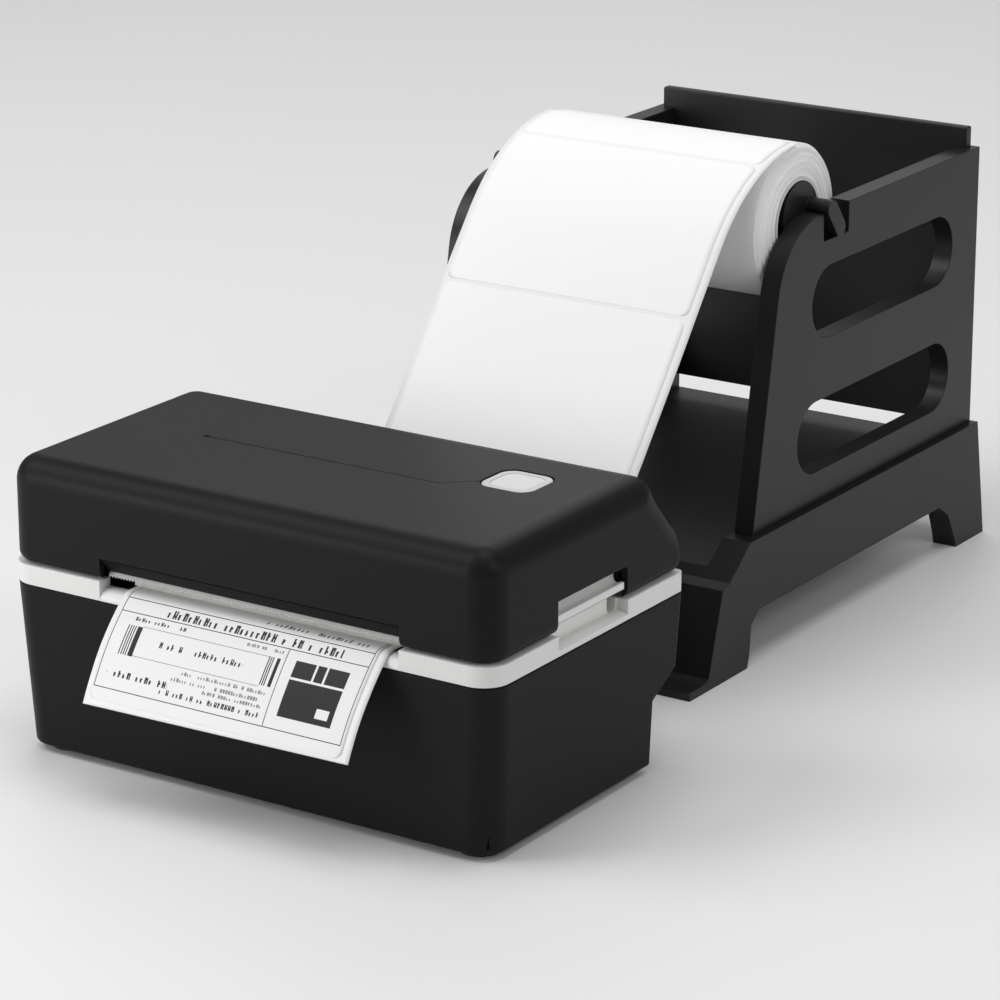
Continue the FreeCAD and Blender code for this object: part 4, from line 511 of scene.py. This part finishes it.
def printedPaper():
    # Ink where a rule, a bar, a mark or the parcel covers the paper, slightly uneven as thermal print is.
    shader = paperBase("printedPaper")
    x, y = shader.uv(0), shader.uv(1)
    look = labelPrint
    left, low, right, high = look["frame"]
    rule = look["rule"]
    inside = area(x, y, left + rule, low + rule, right - rule, high - rule)
    ink = area(x, y, left, low, right, high) * (1 - inside)
    for height in look["titleLines"]:
        ink = ink + area(x, y, left, height, right, height + rule)
    ink = ink + area(x, y, look["divider"], low, look["divider"] + rule, look["titleLines"][0])
    for block in look["bars"]:
        tall = (y > block["low"]) * (y < block["high"])
        for start in block["lines"]:
            near = block["left"] + start
            ink = ink + tall * (x > near) * (x < near + look["lineWide"])
        ink = ink + tall * (x > block["right"] - block["thick"]) * (x < block["right"])
    barsLeft, barsRight = look["bars"]
    for height in look["joins"]:
        ink = ink + area(x, y, barsLeft["right"], height, barsRight["left"],
                         height + rule * look["joinShare"])
    for row in look["rows"]:
        ink = ink + markRow(shader, x, y, *row)
    ink = ink + parcelMark(x, y, look["parcel"])
    fineness, lightening = look["mottle"]
    mottle = shader.noise(fineness, 2.0)
    mask = ink.math("MINIMUM", 1.0) * (1 - lightening + mottle * lightening)
    return shader.set(Base_Color=shader.mix(mask, shader.paper, look["ink"])).material


def corners(node):
    # A CAD node's lowest and highest corner.
    low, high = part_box(node)
    return np.array(low), np.array(high)


rollLow, rollHigh = corners("label_roll")
coreLow, coreHigh = corners("roll_core")
webLow, webHigh = corners("label_web")
labelLow, labelHigh = corners("printed_label")
platenLow, platenHigh = corners("platen_roller")
bandLow, bandHigh = corners("mid_frame")
rollMiddle = (rollLow + rollHigh) / 2
rollHalf = (rollHigh - rollLow)[0] / 2
rollRadius = (rollHigh - rollLow)[2] / 2
coreRadius = (coreHigh - coreLow)[2] / 2
printLine = (platenLow[1] + platenHigh[1]) / 2

finishes = {key: mouldedPlastic(key) for key in plastic}
finishes.update({key: workedMetal(key) for key in metal})
finishes.update({
    "rubber": rubber(), "ceramic": ceramic(), "board": circuitBoard(), "chip": chipPackage(),
    "core": coreBoard(), "liner": plainPaper("linerPaper"), "label": plainPaper("labelPaper"),
    "wound": woundPaper(), "printed": printedPaper(),
})

slotFinish = {
    "casing_black": "casing", "band_grey": "band", "holder_black": "stand", "rubber_black": "rubber",
    "bright_steel": "brightSteel", "plated_steel": "platedSteel", "head_aluminium": "aluminium",
    "head_ceramic": "ceramic", "inner_plastic": "inside", "gear_plastic": "gear", "bush_bronze": "bronze",
    "circuit_green": "board", "socket_black": "socket", "socket_steel": "brightSteel",
    "button_grey": "button", "label_paper": "label", "core_board": "core", "spindle_plastic": "stand",
}
ownFinish = {"board_parts": "chip", "button_lens": "lens", "mouth_insert": "insert",
             "tear_blade": "bladeSteelPaintedGlint"}

for entry in frame["record"]["subparts"]:
    name = entry["node"]
    finish = finishes[ownFinish.get(name, slotFinish[entry["material_slot"]])]
    mesh = cadPieces[name].data
    mesh.materials.clear()
    mesh.materials.append(finish)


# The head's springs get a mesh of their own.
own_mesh(cadPieces["head_springs"])


def piece(name, points, faces, finish, body, uv=None):
    # A mesh from a grid of points; uv, where given, holds one place on the flat sheet for each point.
    mesh = bpy.data.meshes.new(name)
    mesh.from_pydata(points.reshape(-1, 3).tolist(), [], faces.tolist())
    mesh.materials.append(finishes[finish])
    if uv is not None:
        layer = mesh.uv_layers.new(name="flat")
        ends = np.zeros(len(mesh.loops), int)
        mesh.loops.foreach_get("vertex_index", ends)
        layer.data.foreach_set("uv", uv.reshape(-1, 2)[ends].ravel())
    mesh.polygons.foreach_set("use_smooth", np.ones(len(mesh.polygons), bool))
    mesh.update()
    made = bpy.data.objects.new(name, mesh)
    bpy.context.scene.collection.objects.link(made)
    if body:
        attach(made, body)
    return made


def gridFaces(rows, columns, closed=False):
    # Quads between neighbours of a rows by columns grid; closed joins the last column to the first.
    r = np.arange(rows - 1)[:, None]
    c = np.arange(columns if closed else columns - 1)[None, :]
    d = (c + 1) % columns
    quad = (r * columns + c, r * columns + d, (r + 1) * columns + d, (r + 1) * columns + c)
    return np.stack([np.broadcast_to(k, (rows - 1, c.shape[1])) for k in quad], axis=-1).reshape(-1, 4)


def thicken(obj, depth):      # a wall of that depth behind the sheet's face
    wall = obj.modifiers.new("thickness", "SOLIDIFY")
    wall.thickness = depth
    wall.offset = -1.0
    return obj


def pathPoints(start, heading, moves, step=0.0012):
    # Each move is (length, 0) for a run or (radius, turn) for an arc, with the turn in degrees. Returns
    # points, headings and distances along the path. An arc's points are its centre + radius (cos, sin).
    place = np.array(start, float)
    angle = heading
    points, angles, lengths = [place[None, :]], [np.array([angle])], [np.zeros(1)]
    total = 0.0
    for amount, turn in moves:
        length = amount * abs(radians(turn)) if turn else amount
        t = np.linspace(0, 1, max(3, int(length / step)))[1:]
        if turn:
            bend = np.sign(turn)
            across = np.array([-sin(radians(angle)), cos(radians(angle))])
            centre = place + bend * amount * across
            swing = np.radians(angle + t * turn - 90 * bend)
            run = centre + amount * np.stack([np.cos(swing), np.sin(swing)], axis=1)
            angles.append(angle + t * turn)
            angle = angle + turn
        else:
            direction = np.array([cos(radians(angle)), sin(radians(angle))])
            run = place + t[:, None] * amount * direction
            angles.append(np.full(len(t), float(angle)))
        points.append(run)
        lengths.append(total + t * length)
        total += length
        place = run[-1]
    return np.concatenate(points), np.concatenate(angles), np.concatenate(lengths)


paper = {
    "level": 0.06495,          # height of the middle of the strip inside the printer
    "solid": 0.00025,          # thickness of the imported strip
    "liner": 0.00007,
    "label": 0.00006,
    "webAngle": 51.5,
    "webBulge": 0.070,
    "labelWidth": 0.1016,
    "labelShift": -0.0009,     # how far the labels sit off the strip's middle
    "pitch": 0.0674,           # one label and the gap after it
    "firstLabel": 0.0232,      # where the label at the top of the strip ends
    "gap": 0.0017,
    "corner": 0.0030,
    "stripHalf": 0.053,        # half the strip's width, for its curl
    "curl": 0.0006,            # how far the strip's edges lift
    "ripple": 0.000175,        # a long slow wave down the strip
    "webWave": (62, 21),       # the wave's turn per metre along and across, in radians
    "webFree": (0.01, 0.05),   # where curl and wave start after the roll, and the length they grow over
    "webEnd": (0.185, 0.04),   # where they have ended before the inlet, and the length they fade over
    "overRoll": 0.0003,        # gap between the roll and the strip on top of it
    "flatInset": 0.0014,       # where the flat run starts, from the printer's back
    "lip": 0.0038,             # where the strip starts to bend over the lip, from the printer's front
    "lipRadius": 0.00435,
    "tipLift": 0.00035,        # how far the hanging label's edges lift
    "tipWave": 0.00012,
    "tipTurn": (150, 40),      # as webWave, at the mouth
    "tipFree": (0.012, 0.02),  # as webFree, from the platen
    "clear": 0.00001,          # gap that keeps a label off its liner
    "hidden": 0.0005,          # how far a label stops short of the strip's own ends
    "tipMargin": 0.0028,       # bare liner below the printed label
    "tearLeft": 0.0004,        # the strip was torn a little askew: how much shorter each edge is
    "tearRight": 0.0018,
    "exitAngle": 43.0,
    "tipAngle": 65.0,
}


def webPath():
    # From the roll's top: an arc, a straight run, and an arc back to level at the printer's inlet. The
    # run and the last arc cover what is left: reach = run cos + bend sin along, and
    # drop = run sin + bend (1 - cos) down.
    turn = radians(paper["webAngle"])
    start = (rollMiddle[1], rollHigh[2] + paper["overRoll"] + paper["solid"] / 2)
    flatEnd = bandHigh[1] - paper["flatInset"]
    reach = start[0] - paper["webBulge"] * sin(turn) - flatEnd
    drop = start[1] - paper["webBulge"] * (1 - cos(turn)) - paper["level"]
    bend = (reach * sin(turn) - drop * cos(turn)) / (sin(turn) ** 2 - cos(turn) * (1 - cos(turn)))
    run = (reach - bend * sin(turn)) / cos(turn)
    moves = [(paper["webBulge"], paper["webAngle"]), (run, 0), (bend, -paper["webAngle"]),
             (flatEnd - printLine, 0)]
    return pathPoints(start, 180, moves)


def labelPath():
    # From the platen: level to the lip, a tight arc over it, and a wide arc down to the hanging end.
    first, last = radians(paper["exitAngle"]), radians(paper["tipAngle"])
    lip = paper["lip"]
    front = bandLow[1]
    reach = front - labelLow[1] - 0.5 * paper["solid"] * sin(last)
    hang = (reach + lip - paper["lipRadius"] * sin(first)) / (sin(last) - sin(first))
    moves = [(printLine - front - lip, 0), (paper["lipRadius"], paper["exitAngle"]),
             (hang, paper["tipAngle"] - paper["exitAngle"])]
    return pathPoints((printLine, paper["level"]), 180, moves, 0.0006)


def strip(name, path, low, high, offset, depth, finish, ripple, columns, span, corner=0.0, tear=(0.0, 0.0),
          body=None):
    # A sheet over (distance along the path, x): the path's point, pushed off it by offset and a small
    # ripple. At its ends the sheet narrows along a quarter circle, by corner - sqrt(corner^2 - near^2).
    # Tear shortens the far end, from its first value at the left edge to its second at the right.
    points, angles, lengths = path
    first, last = span
    inside = lengths[(lengths > first) & (lengths < last)]
    eased = corner * (1 - np.cos(np.linspace(0, pi / 2, 7)))
    rows = np.unique(np.concatenate([[first, last], inside, first + eased, last - eased]))
    near = np.clip(corner - np.minimum(rows - first, last - rows), 0, corner)
    inset = (corner - np.sqrt(np.maximum(corner ** 2 - near ** 2, 0)))[:, None]
    u = np.linspace(0, 1, columns)[None, :]
    x = low + inset + (high - low - 2 * inset) * u
    shorter = tear[0] + (tear[1] - tear[0]) * u
    s = first + (rows[:, None] - first) * (1 - shorter / (last - first))
    angle = np.radians(np.interp(s, lengths, angles))
    push = offset + ripple(s, x - (low + high) / 2)
    y = np.interp(s, lengths, points[:, 0]) + np.sin(angle) * push
    z = np.interp(s, lengths, points[:, 1]) - np.cos(angle) * push
    uv = np.stack([x - low, lengths[-1] - s], axis=-1)
    grid = np.stack([x, y, z], axis=-1)
    made = piece(name, grid, gridFaces(len(rows), columns), finish, body, uv)
    return thicken(made, depth)


def webRipple(s, x):
    # The strip's edges lift by curl (x / half) ^ 4 where it hangs free, and a long slow wave runs down it.
    begins, grows = paper["webFree"]
    ends, fades = paper["webEnd"]
    along, across = paper["webWave"]
    free = np.clip((s - begins) / grows, 0, 1) * np.clip((ends - s) / fades, 0, 1)
    edge = (np.abs(x) / paper["stripHalf"]) ** 4
    return -free * (paper["curl"] * edge + paper["ripple"] * np.sin(s * along + x * across))


def labelRipple(s, x):
    # The same at the mouth with (x / half) ^ 3: the edges lift past the lip, with a faint short wave.
    begins, grows = paper["tipFree"]
    along, across = paper["tipTurn"]
    free = np.clip((s - begins) / grows, 0, 1)
    edge = (np.abs(x) / paper["stripHalf"]) ** 3
    return free * (paper["tipLift"] * edge + paper["tipWave"] * np.sin(s * along + x * across))


print("paper")
web = webPath()
webLength = web[2][-1]
labelMiddle = (webLow[0] + webHigh[0]) / 2 + paper["labelShift"]
labelLeft = labelMiddle - paper["labelWidth"] / 2
labelRight = labelMiddle + paper["labelWidth"] / 2
proud = paper["label"] + paper["clear"]
liner = strip("linerWeb", web, webLow[0], webHigh[0], 0.0, paper["liner"], "liner", webRipple, 48,
              (0.0, webLength))
labels = []
stop = paper["firstLabel"]
while stop - paper["pitch"] < webLength:
    reach = (max(stop - paper["pitch"] + paper["gap"], paper["hidden"]),
             min(stop, webLength - paper["hidden"]))
    labels.append(strip("webLabel%d" % len(labels), web, labelLeft, labelRight, proud, paper["label"],
                        "label", webRipple, 44, reach, paper["corner"]))
    stop += paper["pitch"]
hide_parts("label_web")
# Each piece of the strip has its placement baked into its mesh.
for sheetPiece in [liner] + labels:
    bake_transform(sheetPiece)

hang = labelPath()
hangLength = hang[2][-1]
tear = (paper["tearLeft"], paper["tearRight"])
backing = strip("linerTongue", hang, labelLow[0], labelHigh[0], 0.0, paper["liner"], "liner", labelRipple, 60,
                (0.0, hangLength), 0.0, tear, "base")
face = strip("shippingLabel", hang, labelLeft, labelRight, proud, paper["label"], "printed", labelRipple, 72,
             (paper["hidden"], hangLength - paper["tipMargin"]), paper["corner"], body="base")
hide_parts("printed_label")


roll = {
    "turns": 26, "samples": 5, "around": 288,
    "spread": 0.0011,          # how far the turns' edges stand out from each other
    "slip": 0.0020,            # how far the outer turns have slid in
    "seed": 7,
    "widths": 25,              # rows across the barrel
    "inset": 0.00003,          # least depth of the ends inside the solid
    "boreGap": 0.00005,
    "own": 0.35,               # the random part of each turn's place
    "wave": (1.15, 0.4),       # the regular part, a sine over the turns: its step and its start
    "ease": 0.35,              # share of a turn over which one edge passes into the next
    "once": (0.6, 0.25),       # a wave once round the roll: where it starts, and how high it is
    "twice": (9, 0.3),         # a wave twice round: how it twists from core to rim, and how high it is
    "crest": 0.2,              # where between core and rim the ends stand out most
    "parts": (0.35, 0.4, 0.5), # shares of the turns and of the waves, and how far both are set back
}


def woundRoll():
    # Over (profile, angle): along the profile the radius grows from core to rim, across the width and
    # back; each turn's edge stands out by its own amount, and the turns creep outwards as they go round.
    rng = np.random.default_rng(roll["seed"])
    n = roll["turns"] * roll["samples"]
    theta = np.linspace(0, 2 * pi, roll["around"], endpoint=False)
    inner, outer = coreRadius + roll["boreGap"], rollRadius
    depth = (np.arange(n) + 0.5) / n
    radius = inner + (outer - inner) * depth
    turn = depth[:, None] * roll["turns"] - theta[None, :] / (2 * pi)
    own = rng.normal(0, 1, roll["turns"] + 2)
    pace, begins = roll["wave"]
    stands = roll["own"] * own + np.sin(np.arange(len(own)) * pace + begins)
    layer = np.floor(turn).astype(int) + 1
    within = turn - np.floor(turn)
    blendIn = np.clip(within / roll["ease"], 0, 1)
    step = stands[layer] * blendIn + stands[np.maximum(layer - 1, 0)] * (1 - blendIn)
    shift, once = roll["once"]
    twist, twice = roll["twice"]
    drift = np.sin(theta + shift)[None, :] * once + np.sin(theta * 2 + depth[:, None] * twist) * twice
    slope = -roll["slip"] * (depth[:, None] - roll["crest"]) ** 2
    turnPart, wavePart, back = roll["parts"]
    stray = roll["spread"] * (step * turnPart + drift * wavePart - back)
    face = np.minimum(slope + stray, -roll["inset"])
    ring = np.stack([radius[:, None] * np.cos(theta), radius[:, None] * np.sin(theta)])
    rows = roll["widths"]
    widths = np.linspace(-1, 1, rows)
    rim = np.stack([np.outer(np.ones(rows), outer * np.cos(theta)),
                    np.outer(np.ones(rows), outer * np.sin(theta))])
    bore = np.stack([np.outer(np.ones(2), inner * np.cos(theta)),
                     np.outer(np.ones(2), inner * np.sin(theta))])
    left = rollMiddle[0] - rollHalf - face
    right = rollMiddle[0] + rollHalf + face
    barrelX = left[-1][None, :] * (1 - widths[:, None]) / 2 + right[-1][None, :] * (1 + widths[:, None]) / 2
    boreX = np.stack([right[0], left[0]])
    x = np.concatenate([left, barrelX[1:-1], right[::-1], boreX])
    y = np.concatenate([ring[0], rim[0][1:-1], ring[0][::-1], bore[0]]) + rollMiddle[1]
    z = np.concatenate([ring[1], rim[1][1:-1], ring[1][::-1], bore[1]]) + rollMiddle[2]
    grid = np.stack([x, y, z], axis=-1)
    grid = np.concatenate([grid, grid[:1]])
    made = piece("woundLabels", grid, gridFaces(len(grid), roll["around"], True), "wound", "roll")
    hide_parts("label_roll")


print("roll")
woundRoll()


print("stage")

stage = {
    "floorShade": 0.80,
    "floorDrift": (0.99, 1.01),              # how far the shade drifts, in clouds of this scale
    "floorClouds": 3.0,
    "floorGloss": 0.5,
    "floorSheen": 0.3,
    "floorSize": 12.0,
    "backdrop": 0.24,
    "lights": [
        {"name": "key", "at": (-1.3, -0.9, 1.7), "aim": (0.0, 0.0, 0.05),
         "size": (1.2, 1.2), "power": 17.0},
        {"name": "rightKey", "at": (1.8, -0.4, 1.4), "aim": (0.0, 0.0, 0.05),
         "size": (0.9, 0.9), "power": 8.0},
        {"name": "back", "at": (-0.85, 1.45, 1.35), "aim": (0.0, 0.1, 0.0),
         "size": (1.8, 1.2), "power": 8.0},
        {"name": "overhead", "at": (0.1, 0.0, 2.0), "aim": (0.0, 0.0, 0.0),
         "size": (1.3, 1.3), "power": 16.0},
        {"name": "lowLeft", "at": (-0.45, -0.75, 0.22), "aim": (-0.08, -0.18, 0.06),
         "size": (0.3, 0.3), "power": 2.0},
        {"name": "rightBank", "at": (2.0, 0.5, 0.6), "aim": (0.0, 0.0, 0.05),
         "size": (0.6, 0.9), "power": 3.0},
    ],
    "eye": (0.7406, -0.9703, 0.5024),        # from the middle of the printer's front edge
    "turn": 33.419, "down": 18.038, "lean": -0.067, "lens": 144.4,
}


def buildStage():
    shader = Shader("floor", Specular_IOR_Level=stage["floorSheen"])
    cloud = shader.noise(stage["floorClouds"], 3.0)
    dark, light = (grey(stage["floorShade"] * share) for share in stage["floorDrift"])
    shader.set(Base_Color=shader.mix(cloud, dark, light), Roughness=stage["floorGloss"] + cloud * 0.05)
    size = stage["floorSize"]
    mesh = bpy.data.meshes.new("floor")
    mesh.from_pydata([(-size, -size, 0), (size, -size, 0), (size, size, 0), (-size, size, 0)], [],
                     [(0, 1, 2, 3)])
    mesh.materials.append(shader.material)
    floor = bpy.data.objects.new("floor", mesh)
    bpy.context.scene.collection.objects.link(floor)
    world = bpy.data.worlds.new("studio")
    world.use_nodes = True
    sky = world.node_tree.nodes["Background"]
    sky.inputs["Color"].default_value = (1.0, 1.0, 1.0, 1.0)
    sky.inputs["Strength"].default_value = stage["backdrop"]
    bpy.context.scene.world = world
    for entry in stage["lights"]:
        lamp = bpy.data.lights.new(entry["name"], "AREA")
        lamp.shape = "RECTANGLE"
        lamp.size, lamp.size_y = entry["size"]
        lamp.energy = entry["power"]
        holder = bpy.data.objects.new(entry["name"], lamp)
        holder.location = entry["at"]
        aim = Vector(entry["aim"]) - Vector(entry["at"])
        holder.rotation_euler = aim.to_track_quat("-Z", "Y").to_euler()
        bpy.context.scene.collection.objects.link(holder)


def buildCamera():
    lens = bpy.data.cameras.new("camera")
    lens.lens = stage["lens"]
    lens.sensor_width = 36.0
    lens.clip_start = 0.05
    eye = bpy.data.objects.new("camera", lens)
    x, y, z = stage["eye"]
    eye.location = (x, y + bandLow[1], z)
    turned = Euler((radians(90 - stage["down"]), 0, radians(stage["turn"]))).to_matrix()
    leaned = Euler((0, 0, radians(stage["lean"]))).to_matrix()
    eye.rotation_euler = (turned @ leaned).to_euler()
    bpy.context.scene.collection.objects.link(eye)
    bpy.context.scene.camera = eye


buildStage()
buildCamera()
bpy.context.scene.view_settings.view_transform = "Standard"
